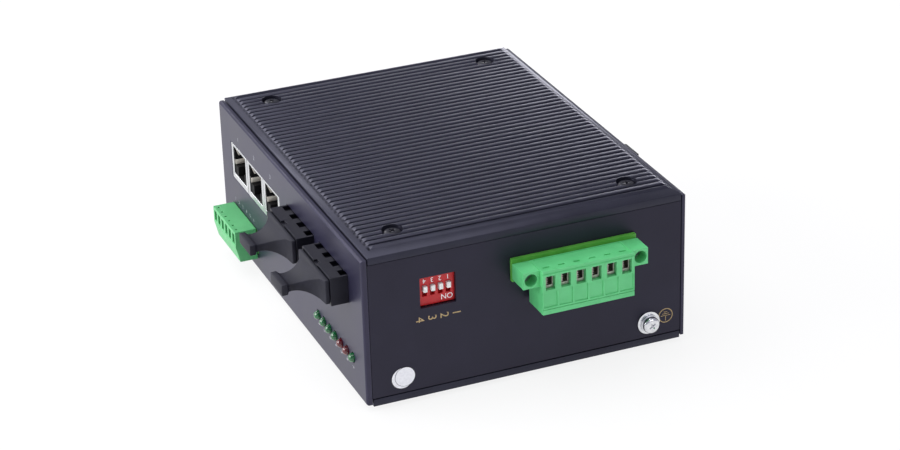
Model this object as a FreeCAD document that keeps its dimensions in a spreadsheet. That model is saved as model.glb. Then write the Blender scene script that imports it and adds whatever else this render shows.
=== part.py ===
# DIN-rail Ethernet switch: ribbed aluminium side covers, sheet panels, two boards, sockets, plugs, rail clip.
# It lies on one ribbed side cover. +X is the end with the power plug, -Y is the front with the ports, +Y is
# the rear with the rail clip, and Z = 0 is the plane of the lower cover's rib crests. Millimetres.
import FreeCAD, Part
import os
import Sketcher
from FreeCAD import Placement, Rotation, Vector

doc = FreeCAD.newDocument("din_rail_switch")

# ---------------------------------------------------------------- driving dimensions

DIMENSIONS = [
    # housing
    ("length", 135.0, "over the two ends, X"),
    ("depth", 106.8, "front face to rear face, Y"),
    ("thickness", 53.2, "crest to crest over both ribbed covers, Z"),
    ("front_sheet", 1.9, "front panel thickness"),
    ("rear_sheet", 1.2, "rear panel thickness"),
    ("end_sheet", 1.2, "end panel thickness"),
    ("seam", 0.3, "shadow gap between cover and front or rear panel"),
    ("end_seam", 0.2, "shadow gap round an end panel"),
    ("cover_skin", 3.4, "cover thickness from rib crest to inner face"),
    ("bevel_rise", 1.7, "height of the bevels round the ribbed field"),
    ("end_bevel_run", 4.3, "width of the bevels at the two ends"),
    ("face_bevel_run", 3.6, "width of the bevels at front and rear"),
    ("lip_drop", 2.3, "height of the cover's upright edge strip"),
    ("lip_wall", 1.2, "thickness of that strip below the inner face"),
    ("rib_width", 2.0, "width of one rib at its foot"),
    ("rib_rise", 0.6, "height of a rib"),
    ("rib_flat", 1.0, "flat along a rib's crest"),
    ("rib_count", 45.0, "ribs on one cover"),
    ("panel_inset", 0.6, "front and rear panel edges below the cover's edge"),
    ("panel_rim", 0.5, "eased rim of the front panel"),
    ("tab_sheet", 1.2, "thickness of the panels' screw tabs"),
    ("tab_width", 11.0, "width of a screw tab"),
    ("leaf", 5.0, "folded leaf of an end panel"),
    # cover fixings
    ("screw_inset_x", 12.3, "cover screw to the cover's end"),
    ("screw_inset_y", 12.7, "cover screw to the cover's front or rear edge"),
    ("counterbore_radius", 3.35, "counterbore round a cover screw"),
    ("counterbore_depth", 2.3, "counterbore depth from the crests"),
    ("screw_radius", 1.5, "M3 shank"),
    ("screw_hole_radius", 1.65, "clearance hole for M3"),
    ("screw_bore_radius", 1.55, "threaded bore for M3, drawn plain"),
    ("thread_corner", 1.9, "the same bore over the corners of its eight sides"),
    ("screw_head_radius", 2.75, "pan head"),
    ("screw_head_height", 1.9, "pan head"),
    ("cover_screw_length", 9.0, "shank of a cover screw"),
    ("pillar_radius", 3.0, "standoff pillar"),
    ("stud_length", 6.0, "stud of an upper pillar inside the lower pillar"),
    ("tab_nut_radius", 2.9, "clinch nut under a front tab"),
    ("tab_nut_height", 6.0, "clinch nut under a front tab"),
    ("board_screw_inset", 8.3, "main board's front screws to the housing's end"),
    ("board_screw_y", -14.0, "main board's front screws, Y"),
    # boards
    ("board_sheet", 1.6, "circuit board thickness"),
    ("board_top", 27.6, "main board's upper face, Z"),
    ("board_end_gap", 4.0, "main board edge to the housing's end"),
    ("board_front_gap", 2.0, "main board edge to the front panel's inner face"),
    ("board_rear_gap", 4.7, "main board edge to the rear panel's inner face"),
    ("io_board_top", 8.2, "lower board's upper face, Z"),
    ("io_board_end_gap", 12.0, "lower board edge to the housing's end"),
    ("io_board_depth", 58.0, "lower board, Y"),
    ("io_screw_inset", 13.5, "lower board screws to that board's edge, X"),
    ("io_screw_spacing", 34.0, "lower board screws front to rear"),
    ("seat", 0.05, "clearance under a part that sits on a board"),
    # copper network sockets
    ("jack_count", 3.0, "RJ45 sockets in the row"),
    ("jack_x", -48.0, "first socket's middle"),
    ("jack_pitch", 16.45, "socket spacing"),
    ("jack_width", 16.1, "socket shield, X"),
    ("jack_height", 12.75, "socket shield, Z"),
    ("jack_depth", 16.0, "socket shield, Y"),
    ("shield_sheet", 0.4, "socket shield sheet"),
    ("jack_mouth_width", 12.7, "opening in the shield's face"),
    ("jack_mouth_height", 10.1, "opening in the shield's face"),
    ("jack_mouth_sill", 1.9, "shield face below the opening"),
    ("plug_way_width", 11.9, "plug space in the insert"),
    ("plug_way_height", 6.9, "plug space in the insert"),
    ("plug_way_depth", 12.4, "plug space in the insert"),
    ("latch_way_width", 6.4, "latch channel in the insert"),
    ("contact_pitch", 1.02, "contact wire spacing"),
    ("contact_width", 0.45, "contact wire"),
    ("window_gap", 0.15, "clearance round what comes through a panel"),
    # fibre ports
    ("fibre_x", 13.3, "first fibre port's middle"),
    ("fibre_pitch", 29.95, "fibre port spacing"),
    ("fibre_width", 24.8, "duplex SC housing, X"),
    ("fibre_height", 9.2, "duplex SC housing, Z"),
    ("fibre_middle", 36.6, "fibre port's middle, Z"),
    ("fibre_proud", 5.6, "SC housing in front of the panel"),
    ("fibre_length", 37.0, "transceiver length, Y"),
    ("bore_pitch", 12.7, "the two fibre bores"),
    ("bore_width", 9.2, "plug space of one bore"),
    ("bore_height", 7.4, "plug space of one bore"),
    ("bore_depth", 14.0, "plug space of one bore"),
    ("sleeve_radius", 1.6, "ceramic alignment sleeve"),
    ("sleeve_bore", 1.26, "ceramic alignment sleeve, inside"),
    ("sleeve_length", 9.0, "ceramic alignment sleeve"),
    ("keeper_pitch", 6.6, "four keeper slots across the housing's top"),
    ("keeper_width", 3.4, "keeper slot, X"),
    ("keeper_depth", 1.3, "keeper slot, Z"),
    # dust caps
    ("cap_gap", 0.1, "clearance between cap and fibre housing"),
    ("cap_flange", 1.3, "cap flange thickness"),
    ("cap_half_width", 12.0, "cap flange, half of X"),
    ("cap_half_height", 3.95, "cap flange, half of Z"),
    ("cap_length", 12.8, "cap in front of the fibre housing"),
    ("cap_neck_half_width", 4.3, "cap neck, half of X"),
    ("cap_neck_half_height", 1.2, "cap neck, half of Z"),
    ("cap_bar", 2.0, "end bar, Y"),
    ("cap_bar_half_width", 5.25, "end bar, half of X"),
    ("cap_bar_half_height", 1.75, "end bar, half of Z"),
    ("cap_waist_radius", 7.7, "concave side seen from above"),
    ("cap_belly_radius", 12.9, "concave side seen from the end"),
    ("cap_peg_radius", 3.3, "peg inside a fibre bore"),
    ("cap_peg_length", 8.0, "peg inside a fibre bore"),
    # signal plug, 3.81 mm pitch
    ("signal_x", -45.4, "signal plug's middle"),
    ("signal_ways", 6.0, "ways of either plug"),
    ("signal_pitch", 3.81, "signal plug pitch"),
    ("signal_low", 6.6, "signal plug's underside, Z"),
    ("signal_height", 11.1, "signal plug, Z"),
    ("signal_proud", 7.5, "signal plug's upper front edge from the panel"),
    ("signal_lean", 1.3, "how far the plug's lower front edge leans in"),
    ("signal_nose", 7.0, "signal plug inside its header"),
    ("header_wall", 0.8, "header wall"),
    ("plug_fit", 0.1, "clearance between plug nose and header"),
    # power plug, 5.08 mm pitch
    ("power_y", 15.1, "power plug's middle"),
    ("power_pitch", 5.08, "power plug pitch"),
    ("power_low", 26.6, "power plug's underside, Z"),
    ("power_height", 14.4, "power plug, Z"),
    ("power_proud", 11.5, "power plug's front from the housing end"),
    ("power_nose", 8.0, "power plug inside its header"),
    ("power_nose_low", 34.6, "power plug nose, underside"),
    ("power_nose_height", 5.6, "power plug nose"),
    ("header_flange", 1.5, "power header flange outside the panel"),
    ("flange_spacing", 36.4, "the two flange screws"),
    ("flange_ear", 5.4, "width and height of an ear"),
    ("flange_ear_low", 35.4, "ear's underside, Z"),
    ("flange_ear_back", 2.0, "ear front behind the plug front"),
    ("flange_hole_radius", 2.05, "flange screw hole"),
    ("flange_seat", 2.4, "flange screw's head seat in front of the header"),
    ("flange_screw_length", 3.6, "shank of a flange screw"),
    ("flange_rim", 1.0, "header flange above and below the ears"),
    ("top_step", 0.8, "groove between the plug's top and the header flange, X"),
    ("top_step_depth", 0.5, "the same groove, Z"),
    ("clamp_wall", 0.5, "terminal clamp cage"),
    # address switch
    ("dip_y", -29.2, "switch block's middle"),
    ("dip_z", 36.2, "switch block's middle"),
    ("dip_window_width", 11.5, "panel window, Y"),
    ("dip_window_height", 10.0, "panel window, Z"),
    ("dip_width", 11.7, "switch block, Y"),
    ("dip_height", 9.8, "switch block, Z"),
    ("dip_depth", 5.4, "switch block, X"),
    ("dip_pitch", 2.54, "lever spacing"),
    ("dip_ways", 4.0, "levers"),
    ("lever_width", 1.3, "lever, Y"),
    ("lever_height", 1.9, "lever knob, Z"),
    ("lever_travel", 1.6, "lever stroke"),
    ("lever_proud", 1.0, "lever knob in front of the block"),
    ("lever_play", 0.08, "clearance round a lever"),
    ("slot_depth", 1.6, "lever slot"),
    # signal lamps
    ("lamp_count", 7.0, "signal lamps"),
    ("lamp_x", 26.3, "first lamp"),
    ("lamp_pitch", 5.08, "lamp spacing"),
    ("lamp_z", 13.9, "lamps, Z"),
    ("lamp_radius", 1.5, "lamp body"),
    ("lamp_hole_radius", 1.65, "panel hole"),
    ("lamp_proud", 2.3, "lamp tip in front of the panel"),
    ("lamp_length", 5.4, "lamp body without its leads"),
    ("holder_depth", 6.0, "lamp holder, Y"),
    ("holder_height", 4.6, "lamp holder above and below the lamps, together"),
    # earth point
    ("earth_y", 40.95, "earth screw, Y"),
    ("earth_z", 9.4, "earth screw, Z"),
    ("washer_radius", 3.8, "flat washer"),
    ("washer_sheet", 0.6, "flat washer"),
    ("lock_washer_radius", 3.0, "spring lock washer"),
    ("lock_washer_sheet", 0.8, "spring lock washer"),
    ("earth_screw_length", 8.0, "shank of the earth screw"),
    ("nut_radius", 3.1, "earth nut over its corners"),
    ("nut_height", 2.4, "earth nut"),
    # seal
    ("seal_y", -41.6, "lower seal disc, Y"),
    ("seal_z", 9.2, "lower seal disc, Z"),
    ("seal_radius", 3.6, "lower seal disc"),
    ("seal_over_radius", 3.3, "upper seal disc"),
    ("seal_shift_y", 0.8, "upper disc off the lower one"),
    ("seal_shift_z", 0.4, "upper disc off the lower one"),
    ("seal_film", 0.12, "film thickness"),
    # rail clip
    ("rail_height", 35.0, "EN 60715 top-hat rail over its edges, X"),
    ("rail_sheet", 1.0, "rail sheet thickness"),
    ("rail_play", 0.3, "clearance round the rail's edge"),
    ("rail_grip", 2.0, "how far a hook reaches over the rail's edge"),
    ("clip_width", 40.0, "clip along the rail, Z"),
    ("clip_sheet", 2.0, "clip plate thickness"),
    ("hook_block", 7.5, "fixed hook, X"),
    ("hook_lip", 1.8, "hook lip thickness, Y"),
    ("clip_end", 42.0, "clip plate from the middle to the latch end"),
    ("latch_width", 16.0, "sliding latch, Z"),
    ("channel_floor", 0.5, "clip plate left under the latch"),
    ("latch_hook", 3.2, "latch hook behind the rail's edge, X"),
    ("latch_web", 3.0, "latch between hook and spring window"),
    ("latch_travel", 3.0, "latch stroke"),
    ("latch_play", 0.2, "clearance round the latch"),
    ("latch_tail", 52.0, "latch tail from the middle"),
    ("spring_room", 8.5, "spring window in the latch, X"),
    ("spring_half_width", 3.2, "spring strip, half of Z"),
    ("spring_sheet", 0.45, "latch spring strip"),
    ("stop_width", 1.4, "spring stop on the clip plate, X"),
    ("clip_screw_x", 9.0, "clip screws from the middle, X"),
    ("clip_sink_radius", 2.95, "recess round a clip screw's head"),
    ("clip_sink_depth", 1.4, "recess round a clip screw's head"),
    ("clip_screw_length", 7.0, "shank of a clip screw"),
    ("clip_screw_spacing", 26.0, "clip screws, Z"),
]


class Size:
    """A length that knows both its sheet expression and its number, so that sums of sizes stay bound."""

    def __init__(self, text, value):
        self.text = text
        self.value = value

    def combine(self, other, sign, swapped=False):
        other = other if isinstance(other, Size) else Size(repr(float(other)), float(other))
        left, right = (other, self) if swapped else (self, other)
        values = {
            "+": left.value + right.value,
            "-": left.value - right.value,
            "*": left.value * right.value,
            "/": left.value / right.value if right.value else 0.0,
        }
        return Size(f"({left.text} {sign} {right.text})", values[sign])

    def __add__(self, other):
        return self.combine(other, "+")

    def __radd__(self, other):
        return self.combine(other, "+", True)

    def __sub__(self, other):
        return self.combine(other, "-")

    def __rsub__(self, other):
        return self.combine(other, "-", True)

    def __mul__(self, other):
        return self.combine(other, "*")

    def __rmul__(self, other):
        return self.combine(other, "*", True)

    def __truediv__(self, other):
        return self.combine(other, "/")

    def __neg__(self):
        return Size(f"(0 - {self.text})", -self.value)


class Dims:
    """The sheet's aliases as sizes: d.length is the cell named length."""

    def __init__(self, rows):
        self.sheet = doc.addObject("Spreadsheet::Sheet", "dims")
        self.numbers = {}
        for line, (alias, value, note) in enumerate(rows, start=1):
            self.sheet.set(f"A{line}", alias)
            self.sheet.set(f"B{line}", str(value))
            self.sheet.set(f"C{line}", note)
            self.sheet.setAlias(f"B{line}", alias)
            self.numbers[alias] = value
        doc.recompute()

    def __getattr__(self, alias):
        return Size(f"dims.{alias}", self.numbers[alias])


d = Dims(DIMENSIONS)
node_objects = []

# ---------------------------------------------------------------- helpers


def size(value):
    return value if isinstance(value, Size) else Size(repr(float(value)), float(value))


def bind(item, prop, value):
    item.setExpression(prop, size(value).text)


def node(item, label):
    """Marks a finished sub-part; its label names its file."""
    item.Label = label
    node_objects.append(item)
    return item


def block(name, x, y, z):
    """A box between (low, high) pairs along X, Y and Z."""
    item = doc.addObject("Part::Box", name)
    for prop, axis, (low, high) in (("Length", "x", x), ("Width", "y", y), ("Height", "z", z)):
        bind(item, prop, size(high) - low)
        bind(item, f"Placement.Base.{axis}", low)
    return item


AXIS_TURN = {
    "X": Rotation(Vector(0, 1, 0), 90),
    "Y": Rotation(Vector(1, 0, 0), -90),
    "Z": Rotation(),
}


def rod(name, axis, centre, low, high, radius, sides=0):
    """A cylinder, or a prism with that many sides, from low to high along axis; centre is its other two places."""
    item = doc.addObject("Part::Prism" if sides else "Part::Cylinder", name)
    item.Placement = Placement(Vector(), AXIS_TURN[axis])
    if sides:
        item.Polygon = sides
    bind(item, "Circumradius" if sides else "Radius", radius)
    bind(item, "Height", size(high) - low)
    others = [letter for letter in "xyz" if letter != axis.lower()]
    bind(item, f"Placement.Base.{axis.lower()}", low)
    for letter, value in zip(others, centre):
        bind(item, f"Placement.Base.{letter}", value)
    return item


def fuse(name, *items):
    item = doc.addObject("Part::MultiFuse", name)
    item.Shapes = list(items)
    return item


def cut(name, base, *tools):
    item = doc.addObject("Part::Cut", name)
    item.Base = base
    item.Tool = tools[0] if len(tools) == 1 else fuse(name + "_tools", *tools)
    return item


def group(name, *items):
    """Separate solids that share one node."""
    item = doc.addObject("Part::Compound", name)
    item.Links = list(items)
    return item


def copies(name, master, placements):
    """Separate copies of one finished solid, one for each placement."""
    doc.recompute()
    shapes = []
    for place in placements:
        shape = master.Shape.copy()
        shape.Placement = place.multiply(shape.Placement)
        shapes.append(shape)
    item = doc.addObject("Part::Feature", name)
    item.Shape = Part.makeCompound(shapes)
    return item


def at(x, y, z, turn=None):
    return Placement(Vector(size(x).value, size(y).value, size(z).value), turn or Rotation())


def body(name):
    return doc.addObject("PartDesign::Body", name)


PLANE_SIGN = {"XY": 1, "XZ": -1, "YZ": 1}


def sketch(owner, name, plane, offset, loops):
    """A sketch on one of the body's own planes, moved by offset along the plane's axis.

    A loop is ("circle", u, v, radius), ("facets", u, v, radius) for a small round drawn with eight sides or
    with the number that follows, or a list of corners (u, v). A corner (u, v, radius, side) is reached along
    an arc whose centre is on the left (side 1) or right (side -1) of the way from the corner before it.
    """
    item = owner.newObject("Sketcher::SketchObject", name)
    origin = [f for f in owner.Origin.OriginFeatures if f.Role == f"{plane}_Plane"][0]
    item.AttachmentSupport = [(origin, "")]
    item.MapMode = "FlatFace"
    bind(item, "AttachmentOffset.Base.z", size(offset) * PLANE_SIGN[plane])
    for loop in loops:
        if loop[0] == "circle":
            add_circle(item, *loop[1:])
        elif loop[0] == "facets":
            add_outline(item, polygon(*loop[1:]))
        else:
            add_outline(item, loop)
    return item


def fix_point(item, geometry, point, u, v):
    for kind, axis_line, value in (("DistanceX", -2, size(u)), ("DistanceY", -1, size(v))):
        if value.value == 0:
            item.addConstraint(Sketcher.Constraint("PointOnObject", geometry, point, axis_line))
        else:
            index = item.addConstraint(Sketcher.Constraint(kind, -1, 1, geometry, point, value.value))
            bind(item, f"Constraints[{index}]", value)


def add_circle(item, u, v, radius):
    centre = Vector(size(u).value, size(v).value, 0)
    index = item.addGeometry(Part.Circle(centre, Vector(0, 0, 1), size(radius).value), False)
    fix_point(item, index, 3, u, v)
    datum = item.addConstraint(Sketcher.Constraint("Radius", index, size(radius).value))
    bind(item, f"Constraints[{datum}]", radius)


def add_outline(item, corners):
    points = [Vector(size(c[0]).value, size(c[1]).value, 0) for c in corners]
    ends = []
    for number, corner in enumerate(corners):
        start, end = points[number - 1], points[number]
        if len(corner) == 2:
            edge = item.addGeometry(Part.LineSegment(start, end), False)
            ends.append((edge, 1, 2))
            continue
        radius, side = size(corner[2]), corner[3]
        chord = end - start
        left = Vector(-chord.y, chord.x, 0).normalize()
        reach = max(radius.value**2 - (chord.Length / 2) ** 2, 0.0) ** 0.5
        centre = (start + end) * 0.5 + left * side * reach
        first, last = (start, end) if side > 0 else (end, start)
        circle = Part.Circle(centre, Vector(0, 0, 1), radius.value)
        arc = Part.ArcOfCircle(circle, circle.parameter(first), circle.parameter(last))
        edge = item.addGeometry(arc, False)
        ends.append((edge, 1, 2) if side > 0 else (edge, 2, 1))
        datum = item.addConstraint(Sketcher.Constraint("Radius", edge, radius.value))
        bind(item, f"Constraints[{datum}]", radius)
    for number, corner in enumerate(corners):
        edge, _, finish = ends[number]
        following, start, _ = ends[(number + 1) % len(ends)]
        item.addConstraint(Sketcher.Constraint("Coincident", edge, finish, following, start))
        fix_point(item, edge, finish, corner[0], corner[1])


def polygon(u, v, radius, sides=8):
    """Corners of a regular polygon that lies round a circle of that radius."""
    spokes = [
        Rotation(Vector(0, 0, 1), 360 * (n + 0.5) / sides).multVec(Vector(1, 0, 0)) for n in range(sides)
    ]
    reach = radius / spokes[0].x
    return [(u + reach * spoke.x, v + reach * spoke.y) for spoke in spokes]


def rectangle(low_u, high_u, low_v, high_v):
    return [(low_u, low_v), (high_u, low_v), (high_u, high_v), (low_u, high_v)]


def pad(owner, name, plane, low, high, loops):
    """Material between low and high along the plane's axis."""
    start = high if plane == "XZ" else low
    feature = owner.newObject("PartDesign::Pad", name)
    feature.Profile = sketch(owner, name + "_sketch", plane, start, loops)
    bind(feature, "Length", size(high) - low)
    return feature


def pocket(owner, name, plane, low, high, loops):
    """A recess between low and high along the plane's axis."""
    start = low if plane == "XZ" else high
    feature = owner.newObject("PartDesign::Pocket", name)
    feature.Profile = sketch(owner, name + "_sketch", plane, start, loops)
    bind(feature, "Length", size(high) - low)
    return feature


def repeat(owner, name, feature, direction, span, count):
    """A row of copies of one feature; direction is an axis role such as X_Axis."""
    pattern = owner.newObject("PartDesign::LinearPattern", name)
    pattern.Originals = [feature]
    axis = [f for f in owner.Origin.OriginFeatures if f.Role == direction][0]
    pattern.Direction = (axis, [""])
    bind(pattern, "Length", span)
    bind(pattern, "Occurrences", count)
    owner.Tip = pattern
    return pattern


def count(value):
    return int(round(size(value).value))


# ---------------------------------------------------------------- shared places

END = d.length / 2
FRONT = -d.depth / 2
REAR = d.depth / 2
COVER_FRONT = FRONT + d.front_sheet + d.seam
COVER_REAR = REAR - d.rear_sheet - d.seam
COVER_EDGE = d.thickness - d.bevel_rise
COVER_INNER = d.thickness - d.cover_skin
LIP_EDGE = COVER_EDGE - d.lip_drop
PANEL_LOW = d.bevel_rise + d.panel_inset
PANEL_HIGH = d.thickness - PANEL_LOW
PANEL_INNER = FRONT + d.front_sheet
REAR_INNER = REAR - d.rear_sheet
END_OUTER = END - d.end_seam
END_INNER = END_OUTER - d.end_sheet
SCREW_X = END - d.screw_inset_x
SCREW_FRONT = COVER_FRONT + d.screw_inset_y
SCREW_REAR = COVER_REAR - d.screw_inset_y
TAB_FACE = COVER_INNER - d.tab_sheet
BOARD_LOW = d.board_top - d.board_sheet
BOARD_FRONT = PANEL_INNER + d.board_front_gap
BOARD_REAR = REAR_INNER - d.board_rear_gap
BOARD_END = END - d.board_end_gap
IO_BOARD_END = END - d.io_board_end_gap
IO_BOARD_LOW = d.io_board_top - d.board_sheet
ON_BOARD = d.board_top + d.seat
ON_IO_BOARD = d.io_board_top + d.seat
SCREW_PLACES = [(sx, y) for sx in (-1, 1) for y in (SCREW_FRONT, SCREW_REAR)]
BOARD_SCREWS = [((END - d.board_screw_inset) * sx, d.board_screw_y) for sx in (-1, 1)]
RIB_FIELD = END - d.end_bevel_run - d.rib_width / 2
RIB_PITCH = (RIB_FIELD * 2 + d.rib_width) / (d.rib_count + 1)


def screw_x(side):
    return SCREW_X * side


# ---------------------------------------------------------------- housing


def ribbed_cover(label):
    """Extruded cover: bevelled field of ribs, edge strips at both ends, four counterbored holes."""
    cover = body(label)
    crest, valley = d.thickness, d.thickness - d.rib_rise
    shoulder = END - d.end_bevel_run
    lip = END - d.lip_wall
    profile = [
        (-END, LIP_EDGE), (-lip, LIP_EDGE), (-lip, COVER_INNER), (lip, COVER_INNER), (lip, LIP_EDGE),
        (END, LIP_EDGE), (END, COVER_EDGE), (shoulder, crest), (RIB_FIELD, valley), (-RIB_FIELD, valley),
        (-shoulder, crest), (-END, COVER_EDGE),
    ]
    pad(cover, label + "_section", "XZ", COVER_FRONT, COVER_REAR, [profile])
    span = (d.rib_count - 1) * RIB_PITCH
    left = -span / 2 - d.rib_width / 2
    right = left + d.rib_width
    shoulder_u = (d.rib_width - d.rib_flat) / 2
    rib = [(left, valley), (left + shoulder_u, crest), (right - shoulder_u, crest), (right, valley)]
    first = pad(cover, label + "_rib", "XZ", COVER_FRONT, COVER_REAR, [rib])
    repeat(cover, label + "_ribs", first, "X_Axis", span, d.rib_count)
    slope = d.bevel_rise / d.face_bevel_run
    for side, edge, sign in (("front", COVER_FRONT, 1), ("rear", COVER_REAR, -1)):
        wedge = [
            (edge - sign, COVER_EDGE - slope), (edge + (d.face_bevel_run + 1) * sign, crest + slope),
            (edge - sign, crest + slope),
        ]
        pocket(cover, f"{label}_{side}_bevel", "YZ", -END - 1, END + 1, [wedge])
    holes = [("facets", screw_x(sx), y, d.screw_hole_radius) for sx, y in SCREW_PLACES]
    bores = [("facets", screw_x(sx), y, d.counterbore_radius, 16) for sx, y in SCREW_PLACES]
    pocket(cover, label + "_holes", "XY", COVER_INNER - 1, crest + 1, holes)
    tip = pocket(cover, label + "_counterbores", "XY", crest - d.counterbore_depth, crest + 1, bores)
    cover.Tip = tip
    return cover


def side_covers():
    """Two equal covers; the lower one is the upper one turned over."""
    node(ribbed_cover("upper_side_cover"), "upper_side_cover")
    lower = ribbed_cover("lower_side_cover")
    lower.Placement = Placement(Vector(), Rotation(Vector(0, 1, 0), 180))
    bind(lower, "Placement.Base.z", d.thickness)
    node(lower, "lower_side_cover")


def screw_tabs(panel, label, inner, screw_y, reach):
    """Four tabs welded behind a panel, each clamped between a cover and a pillar."""
    for side in (-1, 1):
        low_x = screw_x(side) - d.tab_width / 2
        outline = rectangle(low_x, low_x + d.tab_width, *sorted((inner, reach), key=lambda s: s.value))
        hole = ("facets", screw_x(side), screw_y, d.screw_hole_radius)
        name = f"{label}_tab_{'far' if side < 0 else 'near'}"
        pad(panel, name + "_high", "XY", TAB_FACE, COVER_INNER, [outline, hole])
        pad(panel, name + "_low", "XY", d.cover_skin, d.cover_skin + d.tab_sheet, [outline, hole])


def front_panel():
    """Front sheet with its socket, port, plug and lamp openings."""
    panel = body("front_panel")
    sheet = pad(
        panel, "front_sheet_pad", "XZ", FRONT, PANEL_INNER, [rectangle(-END, END, PANEL_LOW, PANEL_HIGH)]
    )
    doc.recompute()
    rim = [
        f"Edge{n}" for n, edge in enumerate(sheet.Shape.Edges, start=1)
        if all(abs(v.Point.y - FRONT.value) < 1e-6 for v in edge.Vertexes)
    ]
    eased = panel.newObject("PartDesign::Chamfer", "front_rim")
    eased.Base = (sheet, rim)
    bind(eased, "Size", d.panel_rim)
    gap = d.window_gap
    jacks_low = d.jack_x - d.jack_width / 2 - gap
    jacks_high = d.jack_x + (d.jack_count - 1) * d.jack_pitch + d.jack_width / 2 + gap
    half = d.fibre_width / 2 + gap
    windows = [rectangle(jacks_low, jacks_high, d.board_top, ON_BOARD + d.jack_height + gap)]
    for port in range(2):
        middle = d.fibre_x + d.fibre_pitch * port
        rise = d.fibre_height / 2 + gap
        windows.append(rectangle(middle - half, middle + half, d.fibre_middle - rise, d.fibre_middle + rise))
    reach = d.signal_pitch * d.signal_ways / 2 + d.header_wall + gap
    windows.append(
        rectangle(d.signal_x - reach, d.signal_x + reach, d.io_board_top, d.signal_low + d.signal_height - 0.2)
    )
    pocket(panel, "front_windows", "XZ", FRONT - 1, PANEL_INNER + 1, windows)
    hole = pocket(
        panel, "lamp_hole", "XZ", FRONT - 1, PANEL_INNER + 1,
        [("facets", d.lamp_x, d.lamp_z, d.lamp_hole_radius)],
    )
    repeat(panel, "lamp_holes", hole, "X_Axis", (d.lamp_count - 1) * d.lamp_pitch, d.lamp_count)
    screw_tabs(panel, "front", PANEL_INNER - 0.5, SCREW_FRONT, SCREW_FRONT + d.tab_width / 2)
    node(panel, "front_panel")


def rear_panel():
    """Rear sheet that carries the rail clip."""
    panel = body("rear_panel")
    holes = [("facets", x, z, d.screw_hole_radius) for x, z in clip_screw_places()]
    outline = rectangle(-END, END, PANEL_LOW, PANEL_HIGH)
    pad(panel, "rear_sheet_pad", "XZ", REAR_INNER, REAR, [outline, *holes])
    screw_tabs(panel, "rear", REAR_INNER + 0.5, SCREW_REAR, SCREW_REAR - d.tab_width / 2)
    node(panel, "rear_panel")


def end_panel(label, windows):
    """End sheet with a folded leaf behind the front panel and one behind the rear panel."""
    panel = body(label)
    low_z, high_z = d.thickness - LIP_EDGE + d.end_seam, LIP_EDGE - d.end_seam
    front, rear = PANEL_INNER + 0.1, REAR_INNER - 0.1
    leaf = END_OUTER - d.leaf
    profile = [
        (END_OUTER, front), (END_OUTER, rear), (leaf, rear), (leaf, rear - d.end_sheet),
        (END_INNER, rear - d.end_sheet), (END_INNER, front + d.end_sheet), (leaf, front + d.end_sheet),
        (leaf, front),
    ]
    pad(panel, label + "_sheet", "XY", low_z, high_z, [profile])
    if windows:
        pocket(panel, label + "_windows", "YZ", END_INNER - 1, END_OUTER + 1, windows)
    return panel


def end_panels():
    half = d.power_pitch * d.signal_ways / 2 + d.header_wall + d.window_gap
    low = d.power_nose_low - d.header_wall - d.plug_fit - d.window_gap
    high = d.power_nose_low + d.power_nose_height + d.header_wall + d.plug_fit + d.window_gap
    width, height = d.dip_window_width / 2, d.dip_window_height / 2
    windows = [
        rectangle(d.dip_y - width, d.dip_y + width, d.dip_z - height, d.dip_z + height),
        rectangle(d.power_y - half, d.power_y + half, low, high),
        ("circle", d.earth_y, d.earth_z, d.screw_hole_radius),
    ]
    node(end_panel("terminal_end_panel", windows), "terminal_end_panel")
    far = end_panel("far_end", [])
    mirrored = doc.addObject("Part::Mirroring", "far_end_mirror")
    mirrored.Source = far
    mirrored.Base = Vector(0, 0, 0)
    mirrored.Normal = Vector(1, 0, 0)
    node(mirrored, "far_end_panel")


# ---------------------------------------------------------------- fasteners


def plain_screw(name, shank_length, sides=8):
    """Screw without its recess, head up, seat of the head at Z = 0."""
    return fuse(
        name + "_solid",
        rod(name + "_head", "Z", (0, 0), 0, d.screw_head_height, d.screw_head_radius, sides),
        rod(name + "_shank", "Z", (0, 0), -shank_length, 0.1, d.screw_radius, 8),
    )


def pan_screw(name, shank_length):
    """Cross-recessed screw."""
    head, height = d.screw_head_radius, d.screw_head_height
    reach, arm = head * 0.52, head * 0.13
    recess = [
        block(f"{name}_recess_{n}", (-u, u), (-v, v), (height * 0.35, height + 1))
        for n, (u, v) in enumerate(((reach, arm), (arm, reach)))
    ]
    return cut(name, plain_screw(name, shank_length, 12), *recess)


def cover_screws():
    screw = pan_screw("cover_screw", d.cover_screw_length)
    seat = d.thickness - d.counterbore_depth
    over = Rotation(Vector(1, 0, 0), 180)
    places = []
    for side, y in SCREW_PLACES:
        places.append(at(screw_x(side), y, seat))
        places.append(at(screw_x(side), y, d.thickness - seat, over))
    node(copies("cover_screw_set", screw, places), "cover_screws")


def bored_post(name, place, low, high, radius):
    """A hexagonal post with a threaded bore right through."""
    post = rod(name + "_post", "Z", place, low, high, radius, 6)
    return cut(name, post, rod(name + "_bore", "Z", place, low - 1, high + 1, d.thread_corner, 8))


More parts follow.
